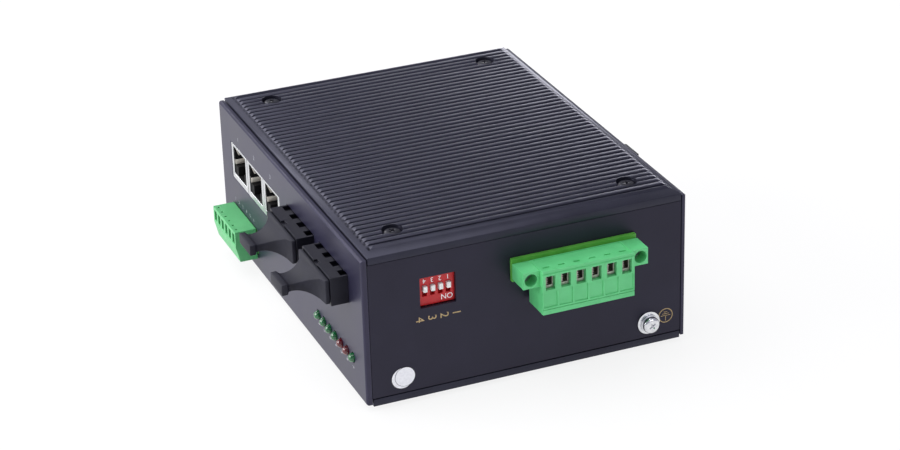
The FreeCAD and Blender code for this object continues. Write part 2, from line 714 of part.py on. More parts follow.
def pillars():
    """Rear pillars: lower ones carry the main board, upper ones clamp it with a stud into the lower ones.

    At the front the cover screws go into clinch nuts on the front panel's tabs, clear of the sockets.
    """
    lower, upper, nuts = [], [], []
    low_end, high_end = d.cover_skin + d.tab_sheet, TAB_FACE
    grip = d.cover_screw_length + 2
    for side, word in ((-1, "far"), (1, "near")):
        place = (screw_x(side), SCREW_REAR)
        lower.append(bored_post(f"lower_pillar_{word}", place, low_end, BOARD_LOW, d.pillar_radius))
        post = rod(f"upper_post_{word}", "Z", place, d.board_top, high_end, d.pillar_radius, 6)
        foot = BOARD_LOW - d.stud_length
        stud = rod(f"upper_stud_{word}", "Z", place, foot, d.board_top + 1, d.screw_radius, 8)
        bore = rod(f"upper_bore_{word}", "Z", place, high_end - grip, high_end + 1, d.thread_corner, 8)
        upper.append(cut(f"upper_pillar_{word}", fuse(f"upper_solid_{word}", post, stud), bore))
        front = (screw_x(side), SCREW_FRONT)
        height = d.tab_nut_height
        nuts.append(bored_post(f"low_nut_{word}", front, low_end, low_end + height, d.tab_nut_radius))
        nuts.append(bored_post(f"high_nut_{word}", front, high_end - height, high_end, d.tab_nut_radius))
    node(group("lower_pillar_set", *lower), "lower_pillars")
    node(group("upper_pillar_set", *upper), "upper_pillars")
    node(group("tab_nut_set", *nuts), "front_tab_nuts")


def board_standoffs():
    """Two standoffs under the main board's front half."""
    posts = [
        bored_post(f"board_standoff_{n}", place, d.cover_skin, BOARD_LOW, d.pillar_radius)
        for n, place in enumerate(BOARD_SCREWS)
    ]
    node(group("board_standoff_set", *posts), "board_standoffs")


# ---------------------------------------------------------------- boards


def io_screw_places():
    front = PANEL_INNER + d.board_front_gap + d.io_board_depth / 2 - d.io_screw_spacing / 2
    reach = IO_BOARD_END - d.io_screw_inset
    return [(reach * side, front + d.io_screw_spacing * row) for side in (-1, 1) for row in (0, 1)]


def boards():
    board = body("main_board")
    holes = [("facets", screw_x(sx), SCREW_REAR, d.screw_hole_radius) for sx in (-1, 1)]
    holes += [("facets", x, y, d.screw_hole_radius) for x, y in BOARD_SCREWS]
    outline = rectangle(-BOARD_END, BOARD_END, BOARD_FRONT, BOARD_REAR)
    pad(board, "main_board_pad", "XY", BOARD_LOW, d.board_top, [outline, *holes])
    node(board, "main_board")
    lower = body("io_board")
    half = IO_BOARD_END
    holes = [("facets", x, y, d.screw_hole_radius) for x, y in io_screw_places()]
    inner, step = SCREW_X - d.tab_nut_radius - 0.6, SCREW_FRONT + d.tab_nut_radius + 0.6
    rear = BOARD_FRONT + d.io_board_depth
    outline = [
        (-inner, BOARD_FRONT), (inner, BOARD_FRONT), (inner, step), (half, step), (half, rear), (-half, rear),
        (-half, step), (-inner, step),
    ]
    pad(lower, "io_board_pad", "XY", IO_BOARD_LOW, d.io_board_top, [outline, *holes])
    node(lower, "io_board")


def io_board_fixings():
    posts = []
    for number, place in enumerate(io_screw_places()):
        posts.append(bored_post(f"io_standoff_{number}", place, d.cover_skin, IO_BOARD_LOW, d.pillar_radius))
    node(group("io_standoff_set", *posts), "io_board_standoffs")
    screw = plain_screw("board_screw", d.io_board_top - d.cover_skin - 0.5)
    places = [at(x, y, d.io_board_top) for x, y in io_screw_places()]
    places += [at(x, y, d.board_top) for x, y in BOARD_SCREWS]
    node(copies("board_screw_set", screw, places), "board_screws")


def board_parts():
    """What the boards carry: switch chip with heatsink, magnetics, capacitors, relay and board link."""
    top = ON_BOARD
    node(block("chip", (-14, 8), (-12, 10), (top, top + 1.6)), "switch_chip")
    base = block("sink_base", (-14, 8), (-12, 10), (top + 1.65, top + 3.2))
    fins = [
        block(f"sink_fin_{n}", (-14 + 3.45 * n, -12.7 + 3.45 * n), (-12, 10), (top + 3, top + 11))
        for n in range(7)
    ]
    node(fuse("sink", base, *fins), "chip_heatsink")
    coils = []
    for number in range(count(d.jack_count)):
        middle = d.jack_x + d.jack_pitch * number
        coils.append(block(f"magnetics_{number}", (middle - 6.5, middle + 6.5), (-30, -20), (top, top + 6)))
    node(group("magnetics_set", *coils), "network_magnetics")
    cans = []
    for number, place in enumerate(((48, -10), (36, -10), (48, 3))):
        cans.append(rod(f"capacitor_{number}", "Z", place, top, top + 15, 5.0, 16))
    node(group("capacitor_set", *cans), "filter_capacitors")
    node(block("relay", (22, 42), (BOARD_REAR - 11.5, BOARD_REAR - 0.5), (top, top + 14)), "alarm_relay")
    node(block("link", (-36, -14), (-10, -5), (ON_IO_BOARD, BOARD_LOW - d.seat)), "board_link")


# ---------------------------------------------------------------- copper network sockets


def jack_middle(number):
    return d.jack_x + d.jack_pitch * number


def rj45_sockets():
    face = FRONT + 0.1
    low = ON_BOARD
    half = d.jack_width / 2
    contacts, shields, inserts = [], [], []
    for number in range(count(d.jack_count)):
        middle = jack_middle(number)
        sheet = d.shield_sheet
        shell = body(f"shield_{number + 1}")
        outline = rectangle(middle - half, middle + half, low, low + d.jack_height)
        pad(shell, f"shield_{number}_box", "XZ", face, face + d.jack_depth, [outline])
        inside = rectangle(middle - half + sheet, middle + half - sheet, low + sheet, low + d.jack_height - sheet)
        pocket(shell, f"shield_{number}_inside", "XZ", face + sheet, face + d.jack_depth - sheet, [inside])
        mouth_half = d.jack_mouth_width / 2
        sill = low + d.jack_mouth_sill
        mouth = rectangle(middle - mouth_half, middle + mouth_half, sill, sill + d.jack_mouth_height)
        pocket(shell, f"shield_{number}_mouth", "XZ", face - 1, face + sheet + 0.1, [mouth])
        shields.append(shell)
        inserts.append(insert(number, middle, face + sheet, low))
        for wire in range(8):
            x = middle + d.contact_pitch * (wire - 3.5)
            contacts.append(contact_wire(f"contact_{number}_{wire}", x, face, low))
    node(group("shield_set", *shields), "rj45_shields")
    node(group("insert_set", *inserts), "rj45_inserts")
    node(group("contact_set", *contacts), "rj45_contacts")


def insert(number, middle, face, low):
    """Moulded insert with the plug space above and the latch channel below it."""
    inner = body(f"insert_{number + 1}")
    gap = d.shield_sheet + d.seat
    half = d.jack_width / 2 - gap
    back = face + d.jack_depth - d.shield_sheet * 2 - d.seat
    outline = rectangle(middle - half, middle + half, low + gap, low + d.jack_height - gap)
    pad(inner, f"insert_{number}_block", "XZ", face + d.seat, back, [outline])
    ceiling = low + d.jack_mouth_sill + d.jack_mouth_height
    way = d.plug_way_width / 2
    deep = face + d.plug_way_depth
    latch = d.latch_way_width / 2
    plug_floor = ceiling - d.plug_way_height
    latch_floor = low + d.jack_mouth_sill
    plug_way = [
        (middle - way, plug_floor), (middle - latch, plug_floor), (middle - latch, latch_floor),
        (middle + latch, latch_floor), (middle + latch, plug_floor), (middle + way, plug_floor),
        (middle + way, ceiling), (middle - way, ceiling),
    ]
    pocket(inner, f"insert_{number}_way", "XZ", face - 1, deep, [plug_way])
    return inner


def contact_wire(name, x, face, low):
    """One spring wire that leans down and back from the roof of the plug space."""
    ceiling = low + d.jack_mouth_sill + d.jack_mouth_height
    wire = body(name)
    half = d.contact_width / 2
    thick = d.contact_width
    front, deep = face + 2.0, face + 9.5
    roof = ceiling - 0.06
    drop = roof - 2.6
    leaf = [
        (front, roof - thick), (deep, drop - thick), (deep, drop), (front + 0.6, roof), (front, roof),
    ]
    pad(wire, name + "_strip", "YZ", x - half, x + half, [leaf])
    return wire


# ---------------------------------------------------------------- fibre ports and dust caps


def port_middle(number):
    return d.fibre_x + d.fibre_pitch * number


def fibre_ports():
    mouth = FRONT - d.fibre_proud
    low, high = d.fibre_middle - d.fibre_height / 2, d.fibre_middle + d.fibre_height / 2
    sleeves, sockets = [], []
    for number in range(2):
        middle = port_middle(number)
        half = d.fibre_width / 2
        module = body(f"transceiver_{number + 1}")
        outline = rectangle(middle - half, middle + half, low, high)
        pad(module, f"transceiver_{number}_block", "XZ", mouth, mouth + d.fibre_length, [outline])
        wide, tall = d.bore_width / 2, d.bore_height / 2
        bores = []
        for side in (-1, 1):
            centre = middle + d.bore_pitch / 2 * side
            bores.append(
                rectangle(centre - wide, centre + wide, d.fibre_middle - tall, d.fibre_middle + tall)
            )
        pocket(module, f"transceiver_{number}_bores", "XZ", mouth - 1, mouth + d.bore_depth, bores)
        seats = [
            ("facets", middle + d.bore_pitch / 2 * side, d.fibre_middle, d.sleeve_radius) for side in (-1, 1)
        ]
        pocket(
            module, f"transceiver_{number}_seats", "XZ", mouth + d.bore_depth - 1,
            mouth + d.bore_depth + d.sleeve_length / 3, seats,
        )
        first = middle - d.keeper_pitch * 1.5 - d.keeper_width / 2
        keeper = pocket(
            module, f"transceiver_{number}_keeper", "XY", high - d.keeper_depth, high + 1,
            [rectangle(first, first + d.keeper_width, FRONT - 1.9, FRONT + 1.0)],
        )
        repeat(module, f"transceiver_{number}_keepers", keeper, "X_Axis", d.keeper_pitch * 3, 4)
        notch = rectangle(middle - 1.9, middle + 1.1, mouth - 1, mouth + 1.1)
        pocket(module, f"transceiver_{number}_notch", "XY", high - 0.7, high + 1, [notch])
        node(module, f"fibre_transceiver_{number + 1}")
        for side in (-1, 1):
            centre = (middle + d.bore_pitch / 2 * side, d.fibre_middle)
            name = f"sleeve_{number}_{'b' if side > 0 else 'a'}"
            end = mouth + d.bore_depth + d.sleeve_length / 3
            tube = rod(name + "_outer", "Y", centre, end - d.sleeve_length, end, d.sleeve_radius, 8)
            hole = rod(name + "_bore", "Y", centre, end - d.sleeve_length - 1, end - 1, d.sleeve_bore, 8)
            sleeves.append(cut(name, tube, hole))
        rear = mouth + d.fibre_length
        sockets.append(
            block(
                f"module_socket_{number}", (middle - 11.5, middle + 11.5), (rear - 5, rear - 2),
                (ON_BOARD, low - d.seat),
            )
        )
    node(group("sleeve_set", *sleeves), "fibre_sleeves")
    node(group("module_socket_set", *sockets), "transceiver_sockets")


def dust_cap(number):
    """Rubber cap: a flange, a body that is hollowed on all four sides down to a neck, an end bar and two pegs."""
    name = f"cap_{number + 1}"
    middle = port_middle(number)
    centre = d.fibre_middle
    base = FRONT - d.fibre_proud - d.cap_gap
    face = base - d.cap_flange
    tip = base - d.cap_length
    bar = tip + d.cap_bar
    wide, neck, grip = d.cap_half_width, d.cap_neck_half_width, d.cap_bar_half_width
    turn = face - d.cap_waist_radius
    plan = body(name + "_plan")
    pad(plan, name + "_plan_pad", "XY", centre - d.cap_half_height, centre + d.cap_half_height, [[
        (middle + wide, base), (middle - wide, base), (middle - wide, face),
        (middle - neck, turn, d.cap_waist_radius, -1), (middle - neck, bar + 0.5), (middle - grip, bar),
        (middle - grip, tip), (middle + grip, tip), (middle + grip, bar), (middle + neck, bar + 0.5),
        (middle + neck, turn), (middle + wide, face, d.cap_waist_radius, -1),
    ]])
    tall, thin, lip = d.cap_half_height, d.cap_neck_half_height, d.cap_bar_half_height
    waist = bar + 1.2
    section = body(name + "_section")
    pad(section, name + "_section_pad", "YZ", middle - wide, middle + wide, [[
        (base, centre - tall), (base, centre + tall), (face, centre + tall),
        (waist, centre + thin, d.cap_belly_radius, -1), (bar, centre + lip), (tip, centre + lip),
        (tip, centre - lip), (bar, centre - lip), (waist, centre - thin),
        (face, centre - tall, d.cap_belly_radius, -1),
    ]])
    form = doc.addObject("Part::Common", name + "_form")
    form.Base = plan
    form.Tool = section
    pegs, holes = [], []
    for side in (-1, 1):
        place = (middle + d.bore_pitch / 2 * side, centre)
        mark = f"{name}_{'b' if side > 0 else 'a'}"
        end = base + d.cap_peg_length
        pegs.append(rod(mark + "_peg", "Y", place, base - 0.5, end, d.cap_peg_radius, 8))
        holes.append(rod(mark + "_hollow", "Y", place, base + 1, end + 1, d.sleeve_radius + 0.3, 8))
    return cut(name, fuse(name + "_solid", form, *pegs), *holes)


# ---------------------------------------------------------------- signal plug and header


def signal_way(number):
    return d.signal_x + d.signal_pitch * (number - (d.signal_ways - 1) / 2)


def signal_plug():
    plug = body("signal_plug")
    low, high = d.signal_low, d.signal_low + d.signal_height
    front = FRONT - d.signal_proud
    half = d.signal_pitch * d.signal_ways / 2 + 0.25
    nose_low, nose_high = ON_IO_BOARD + d.header_wall + d.plug_fit, high - 1.6
    back = FRONT - 0.1
    end = back + d.signal_nose
    profile = [
        (front, high), (front, low + 5.4), (front + d.signal_lean, low), (back, low), (back, nose_low),
        (end, nose_low), (end, nose_high), (back, nose_high), (back, high),
    ]
    pad(plug, "signal_section", "YZ", d.signal_x - half, d.signal_x + half, [profile])
    first = signal_way(0)
    window = pocket(
        plug, "signal_window", "XZ", front - 1, front + 4.5,
        [rectangle(first - 1.15, first + 1.15, low + 6.4, low + 9.9)],
    )
    span = d.signal_pitch * (d.signal_ways - 1)
    repeat(plug, "signal_windows", window, "X_Axis", span, d.signal_ways)
    dot = pocket(plug, "signal_dot", "XY", high - 0.8, high + 1, [("facets", first, front + 1.3, 0.35, 4)])
    repeat(plug, "signal_dots", dot, "X_Axis", span, d.signal_ways)
    well = pocket(plug, "signal_well", "XY", low - 1, low + 2.2, [("facets", first, front + 4.2, 1.5)])
    repeat(plug, "signal_wells", well, "X_Axis", span, d.signal_ways)
    node(plug, "signal_plug")
    screws, clamps = [], []
    for number in range(count(d.signal_ways)):
        x = signal_way(number)
        head = rod(f"signal_screw_rod_{number}", "Z", (x, front + 4.2), low + 0.5, low + 2.15, 1.35, 8)
        slot = block(
            f"signal_screw_slot_{number}", (x - 0.2, x + 0.2), (front + 2, front + 6.4), (low, low + 1.0)
        )
        screws.append(cut(f"signal_screw_{number}", head, slot))
        outer = block(
            f"signal_cage_{number}", (x - 1.1, x + 1.1), (front + 1.6, front + 4.4), (low + 6.45, low + 9.85)
        )
        inner = block(
            f"signal_cage_hole_{number}", (x - 0.75, x + 0.75), (front + 1, front + 4),
            (low + 6.9, low + 9.3),
        )
        clamps.append(cut(f"signal_clamp_{number}", outer, inner))
    node(group("signal_screw_set", *screws), "signal_plug_screws")
    node(group("signal_clamp_set", *clamps), "signal_plug_clamps")
    signal_header(nose_low, nose_high, back)


def signal_header(nose_low, nose_high, back):
    half = d.signal_pitch * d.signal_ways / 2 + d.header_wall
    inner = d.signal_pitch * d.signal_ways / 2 + 0.25 + d.plug_fit
    header = body("signal_header")
    face = back + 0.3
    rear = face + d.signal_nose + 2
    outline = rectangle(d.signal_x - half, d.signal_x + half, ON_IO_BOARD, nose_high + d.plug_fit + 0.7)
    pad(header, "signal_header_block", "XZ", face, rear, [outline])
    mouth = rectangle(d.signal_x - inner, d.signal_x + inner, nose_low - d.plug_fit, nose_high + d.plug_fit)
    pocket(header, "signal_header_mouth", "XZ", face - 1, face + d.signal_nose, [mouth])
    node(header, "signal_header")


# ---------------------------------------------------------------- power plug and header


def power_way(number):
    return d.power_y + d.power_pitch * (number - (d.signal_ways - 1) / 2)


def power_plug():
    plug = body("power_plug")
    low, high = d.power_low, d.power_low + d.power_height
    front = END + d.power_proud
    back = END_OUTER + d.header_flange + 0.1
    half = d.power_pitch * d.signal_ways / 2
    nose_low, nose_high = d.power_nose_low, d.power_nose_low + d.power_nose_height
    nose_end = back - d.power_nose
    profile = [
        (back, low + 0.6), (front - 0.5, low), (front, low + 0.5), (front, high - 1.1),
        (front - 0.3, high - 1.1), (front - 0.3, high), (back + d.top_step, high),
        (back + d.top_step, high - d.top_step_depth), (back, high - d.top_step_depth), (back, nose_high),
        (nose_end, nose_high), (nose_end, nose_low), (back, nose_low),
    ]
    pad(plug, "power_section", "XZ", d.power_y - half, d.power_y + half, [profile])
    ear_low, ear_high = d.flange_ear_low, d.flange_ear_low + d.flange_ear
    ear_front = front - d.flange_ear_back
    reach = half + d.flange_ear + 0.1
    for side, name in ((-1, "left"), (1, "right")):
        inner, outer = sorted((half * side, reach * side), key=lambda s: s.value)
        ear = rectangle(d.power_y + inner, d.power_y + outer, ear_low, ear_high)
        hole_y = d.power_y + d.flange_spacing / 2 * side
        hole = ("facets", hole_y, (ear_low + ear_high) / 2, d.flange_hole_radius, 16)
        pad(plug, f"power_ear_{name}", "YZ", back, ear_front, [ear, hole])
    first = power_way(0)
    span = d.power_pitch * (d.signal_ways - 1)
    window = pocket(
        plug, "power_window", "YZ", front - 6, front + 1,
        [rectangle(first - 1.6, first + 1.6, high - 6.3, high - 1.7)],
    )
    repeat(plug, "power_windows", window, "Y_Axis", span, d.signal_ways)
    slit = pocket(
        plug, "power_slit", "XY", high - 0.6, high + 1,
        [rectangle(front - 3.5, front - 2.8, first - 1.1, first + 1.1)],
    )
    repeat(plug, "power_slits", slit, "Y_Axis", span, d.signal_ways)
    groove_y = first + d.power_pitch / 2
    groove = pocket(
        plug, "power_groove", "YZ", front - 0.35, front + 1,
        [rectangle(groove_y - 0.2, groove_y + 0.2, low + 2.2, high - 6.3)],
    )
    repeat(plug, "power_grooves", groove, "Y_Axis", span - d.power_pitch, d.signal_ways - 1)
    well = pocket(plug, "power_well", "XY", low - 1, low + 2.6, [("facets", front - 5.2, first, 2.0)])
    repeat(plug, "power_wells", well, "Y_Axis", span, d.signal_ways)
    node(plug, "power_plug")
    power_terminals(low, high, front)
    power_header(back, nose_low, nose_high, ear_low, ear_high, reach)
    seat = back + d.flange_seat
    screws = cut(
        "flange_screw",
        fuse(
            "flange_screw_solid",
            rod("flange_screw_head", "Z", (0, 0), 0, 1.5, d.flange_hole_radius - 0.05, 12),
            rod("flange_screw_shank", "Z", (0, 0), -d.flange_screw_length, 0.1, d.screw_radius, 8),
        ),
        block("flange_screw_slot", (-0.25, 0.25), (-2.5, 2.5), (0.9, 2.5)),
    )
    middle = (ear_low + ear_high) / 2
    lie = Rotation(Vector(0, 1, 0), 90)
    places = [at(seat, d.power_y + d.flange_spacing / 2 * side, middle, lie) for side in (-1, 1)]
    node(copies("flange_screw_set", screws, places), "power_flange_screws")


def power_terminals(low, high, front):
    """Clamp cages behind the wire openings, and the clamp screws on the plug's underside."""
    screws, clamps = [], []
    for number in range(count(d.signal_ways)):
        y = power_way(number)
        head = rod(f"power_screw_rod_{number}", "Z", (front - 5.2, y), low + 0.7, low + 2.5, 1.85, 8)
        slot = block(
            f"power_screw_slot_{number}", (front - 8, front - 2.4), (y - 0.3, y + 0.3), (low, low + 1.3)
        )
        screws.append(cut(f"power_screw_{number}", head, slot))
        wall = d.clamp_wall
        outer = block(
            f"power_cage_{number}", (front - 5.9, front - 1.4), (y - 1.55, y + 1.55), (high - 6.25, high - 1.75)
        )
        inner = block(
            f"power_cage_hole_{number}", (front - 5.5, front), (y - 1.55 + wall, y + 1.55 - wall),
            (high - 6.25 + wall * 2, high - 1.75 - wall),
        )
        clamps.append(cut(f"power_clamp_{number}", outer, inner))
    node(group("power_screw_set", *screws), "power_plug_screws")
    node(group("power_clamp_set", *clamps), "power_plug_clamps")


def power_header(back, nose_low, nose_high, ear_low, ear_high, reach):
    header = body("power_header")
    half = d.power_pitch * d.signal_ways / 2
    wall = d.header_wall + d.plug_fit
    face = back - 0.1
    shell = rectangle(d.power_y - half - d.header_wall, d.power_y + half + d.header_wall, nose_low - wall,
                      nose_high + wall)
    root = END_INNER - d.power_nose
    pad(header, "power_header_shell", "YZ", root, END_OUTER, [shell])
    flange = rectangle(
        d.power_y - reach, d.power_y + reach, ear_low - d.flange_rim, ear_high + d.flange_rim
    )
    pad(header, "power_header_flange", "YZ", END_OUTER + d.seat, face, [flange])
    neck = rectangle(d.power_y - half, d.power_y + half, nose_low - wall + 0.2, nose_high + wall - 0.2)
    pad(header, "power_header_neck", "YZ", END_OUTER - 1, face - 0.5, [neck])
    inner = half + d.plug_fit
    mouth = rectangle(d.power_y - inner, d.power_y + inner, nose_low - d.plug_fit, nose_high + d.plug_fit)
    pocket(header, "power_header_mouth", "YZ", root + 1.5, face + 1, [mouth])
    nuts = [
        ("facets", d.power_y + d.flange_spacing / 2 * side, (ear_low + ear_high) / 2, d.screw_bore_radius)
        for side in (-1, 1)
    ]
    legs = rectangle(d.power_y - half, d.power_y + half, ON_BOARD, nose_low)
    pad(header, "power_header_foot", "YZ", root, root + 2.5, [legs])
    pocket(header, "power_header_threads", "YZ", root, face + 1, nuts)
    node(header, "power_header")


# ---------------------------------------------------------------- address switch


def lever_y(number):
    return d.dip_y + d.dip_pitch * (number - (d.dip_ways - 1) / 2)


def address_switch():
    """Four slide levers in one block behind the end panel; at rest they stand at the number side."""
    face = END_INNER - 0.1
    block_body = body("dip_block")
    half, rise = d.dip_width / 2, d.dip_height / 2
    pad(
        block_body, "dip_block_pad", "YZ", face - d.dip_depth, face,
        [rectangle(d.dip_y - half, d.dip_y + half, d.dip_z - rise, d.dip_z + rise)],
    )
    play = d.lever_play
    wide = d.lever_width / 2 + play
    slot_half = (d.lever_height + d.lever_travel) / 2 + play
    first = lever_y(0)
    slot = pocket(
        block_body, "dip_slot", "YZ", face - d.slot_depth, face + 1,
        [rectangle(first - wide, first + wide, d.dip_z - slot_half, d.dip_z + slot_half)],
    )
    repeat(block_body, "dip_slots", slot, "Y_Axis", d.dip_pitch * (d.dip_ways - 1), d.dip_ways)
    node(block_body, "dip_block")
    top = d.dip_z + slot_half - play
    for number in range(count(d.dip_ways)):
        y = lever_y(number)
        lever = block(
            f"lever_{number}", (face - d.slot_depth + play, face + d.lever_proud),
            (y - d.lever_width / 2, y + d.lever_width / 2), (top - d.lever_height, top),
        )
        label = f"dip_lever_{count(d.dip_ways) - number}"
        node(lever, label)
    pins = []
    back = face - d.dip_depth
    for number in range(count(d.dip_ways)):
        y = lever_y(number)
        for row, (z, run) in enumerate(((d.dip_z - rise + 1.1, 1.2), (d.dip_z + rise - 1.1, 3.2))):
            name = f"dip_pin_{number}_{row}"
            arm = block(name + "_arm", (back - run, back - 0.02), (y - 0.25, y + 0.25), (z - 0.25, z + 0.25))
            leg = block(
                name + "_leg", (back - run, back - run + 0.5), (y - 0.25, y + 0.25), (ON_BOARD, z + 0.25)
            )
            pins.append(fuse(name, arm, leg))
    node(group("dip_pin_set", *pins), "dip_pins")


# ---------------------------------------------------------------- signal lamps


def signal_lamps():
    """Seven 3 mm lamps in one holder on the lower board; lamps 5 and 6 are red."""
    tip = FRONT - d.lamp_proud
    front = PANEL_INNER + 0.1
    rear = front + d.holder_depth
    low, high = ON_IO_BOARD, d.lamp_z + d.holder_height / 2
    span = d.lamp_pitch * (d.lamp_count - 1)
    holder = body("lamp_holder")
    pad(
        holder, "lamp_holder_block", "XZ", front, rear,
        [rectangle(d.lamp_x - d.lamp_pitch / 2, d.lamp_x + span + d.lamp_pitch / 2, low, high)],
    )
    bore = pocket(
        holder, "lamp_bore", "XZ", front - 1, rear + 1,
        [("facets", d.lamp_x, d.lamp_z, d.lamp_radius + d.seat)],
    )
    repeat(holder, "lamp_bores", bore, "X_Axis", span, d.lamp_count)
    node(holder, "lamp_holder")
    barrel = rod("lamp_barrel", "Z", (0, 0), 0, d.lamp_length - d.lamp_radius * 0.8, d.lamp_radius, 12)
    nose = rod(
        "lamp_nose", "Z", (0, 0), d.lamp_length - d.lamp_radius * 0.8 - 0.1, d.lamp_length,
        d.lamp_radius * 0.7, 12,
    )
    lamp = fuse("lamp", barrel, nose)
    base = tip + d.lamp_length
    lie = Rotation(Vector(1, 0, 0), 90)
    places = [at(d.lamp_x + d.lamp_pitch * n, base, d.lamp_z, lie) for n in range(count(d.lamp_count))]
    red = (4, 5)
    node(copies("green_lamp_set", lamp, [p for n, p in enumerate(places) if n not in red]), "green_lamps")
    node(copies("red_lamp_set", lamp, [p for n, p in enumerate(places) if n in red]), "red_lamps")
    leads = []
    for number in range(count(d.lamp_count)):
        x = d.lamp_x + d.lamp_pitch * number
        for side, shift in (("a", -0.6), ("b", 0.6)):
            name = f"lamp_lead_{number}_{side}"
            run = (x + shift - 0.2, x + shift + 0.2)
            arm = block(name + "_arm", run, (base + 0.02, rear + 1.2), (d.lamp_z - 0.2, d.lamp_z + 0.2))
            leg = block(name + "_leg", run, (rear + 0.8, rear + 1.2), (ON_IO_BOARD, d.lamp_z + 0.2))
            leads.append(fuse(name, arm, leg))
    node(group("lamp_lead_set", *leads), "lamp_leads")


# ---------------------------------------------------------------- earth point and seal


def earth_point():
    place = (d.earth_y, d.earth_z)
    outer = END_OUTER
    flat = outer + d.washer_sheet
    lock = flat + d.lock_washer_sheet
    washer = rod("flat_washer_disc", "X", place, outer, flat, d.washer_radius)
    hole = rod("flat_washer_hole", "X", place, outer - 1, flat + 1, d.thread_corner, 8)
    node(cut("flat_washer", washer, hole), "earth_flat_washer")
    ring = rod("lock_washer_disc", "X", place, flat, lock, d.lock_washer_radius)
    hole = rod("lock_washer_hole", "X", place, flat - 1, lock + 1, d.thread_corner, 8)
    split = block(
        "lock_washer_split", (flat - 1, lock + 1), (d.earth_y, d.earth_y + d.lock_washer_radius + 1),
        (d.earth_z - 0.25, d.earth_z + 0.25),
    )
    node(cut("lock_washer", ring, hole, split), "earth_lock_washer")
    screw = pan_screw("earth_pan", d.earth_screw_length)
    lie = Rotation(Vector(0, 1, 0), 90)
    node(copies("earth_screw_placed", screw, [at(lock, d.earth_y, d.earth_z, lie)]), "earth_screw")
    nut = body("earth_nut")
    corner, side = d.nut_radius, d.nut_radius * 0.8660254
    y, z = d.earth_y, d.earth_z
    hexagon = [
        (y + corner, z), (y + corner / 2, z + side), (y - corner / 2, z + side), (y - corner, z),
        (y - corner / 2, z - side), (y + corner / 2, z - side),
    ]
    pad(
        nut, "earth_nut_pad", "YZ", END_INNER - d.nut_height, END_INNER,
        [hexagon, ("facets", y, z, d.screw_bore_radius)],
    )
    node(nut, "earth_nut")


def seals():
    film = d.seal_film
    node(
        rod("seal_disc", "X", (d.seal_y, d.seal_z), END_OUTER, END_OUTER + film, d.seal_radius),
        "seal_disc_under",
    )
    place = (d.seal_y + d.seal_shift_y, d.seal_z + d.seal_shift_z)
    disc = rod("seal_top", "X", place, END_OUTER + film, END_OUTER + film * 2, d.seal_over_radius)
    notch = block(
        "seal_notch", (END_OUTER, END_OUTER + 1),
        (place[0] - 1.1, place[0] - 0.5), (place[1] + d.seal_over_radius - 0.7, place[1] + 4),
    )
    node(cut("seal_over", disc, notch), "seal_disc_over")


# ---------------------------------------------------------------- rail clip


def clip_screw_places():
    middle = d.thickness / 2
    half = d.clip_screw_spacing / 2
    return [(d.clip_screw_x * sx, middle + half * sz) for sx in (-1, 1) for sz in (-1, 1)]


def rail_clip():
    """Clip for a 35 mm rail: fixed hook at +X, spring-loaded latch that slides towards -X to let the rail go."""
    middle = d.thickness / 2
    floor = REAR
    face = floor + d.clip_sheet
    base, top = floor + d.channel_floor + d.seat, face - d.seat
    edge = d.rail_height / 2 + d.rail_play
    mouth = face + d.rail_sheet + d.rail_play
    lip = mouth + d.hook_lip
    grip = d.rail_height / 2 - d.rail_grip
    hook_back = -edge - d.latch_hook
    room_high = hook_back - d.latch_web
    room_low = room_high - d.spring_room
    clip_plate(middle, floor, face, edge, mouth, lip, grip, hook_back, room_low)
    latch = body("latch")
    profile = [
        (-d.latch_tail, base), (-edge, base), (-edge, mouth), (-grip, mouth), (-grip - 0.8, lip),
        (hook_back, lip), (hook_back, top), (-d.latch_tail, top),
    ]
    pad(latch, "latch_section", "XY", middle - d.latch_width / 2, middle + d.latch_width / 2, [profile])
    slot = rectangle(-d.latch_tail + 2.5, -d.latch_tail + 4.5, middle - 3.5, middle + 3.5)
    room = rectangle(room_low, room_high, middle - d.spring_half_width - 0.5, middle + d.spring_half_width + 0.5)
    pocket(latch, "latch_openings", "XZ", base - 1, top + 1, [slot, room])
    node(latch, "din_latch")
    latch_spring(middle, room_low + d.stop_width + 0.1, room_high - d.seat, base, top)
    screw = pan_screw("clip_screw", d.clip_screw_length)
    lie = Rotation(Vector(1, 0, 0), -90)
    seat = face - d.clip_sink_depth
    node(
        copies("clip_screw_set", screw, [at(x, seat, z, lie) for x, z in clip_screw_places()]),
        "din_clip_screws",
    )


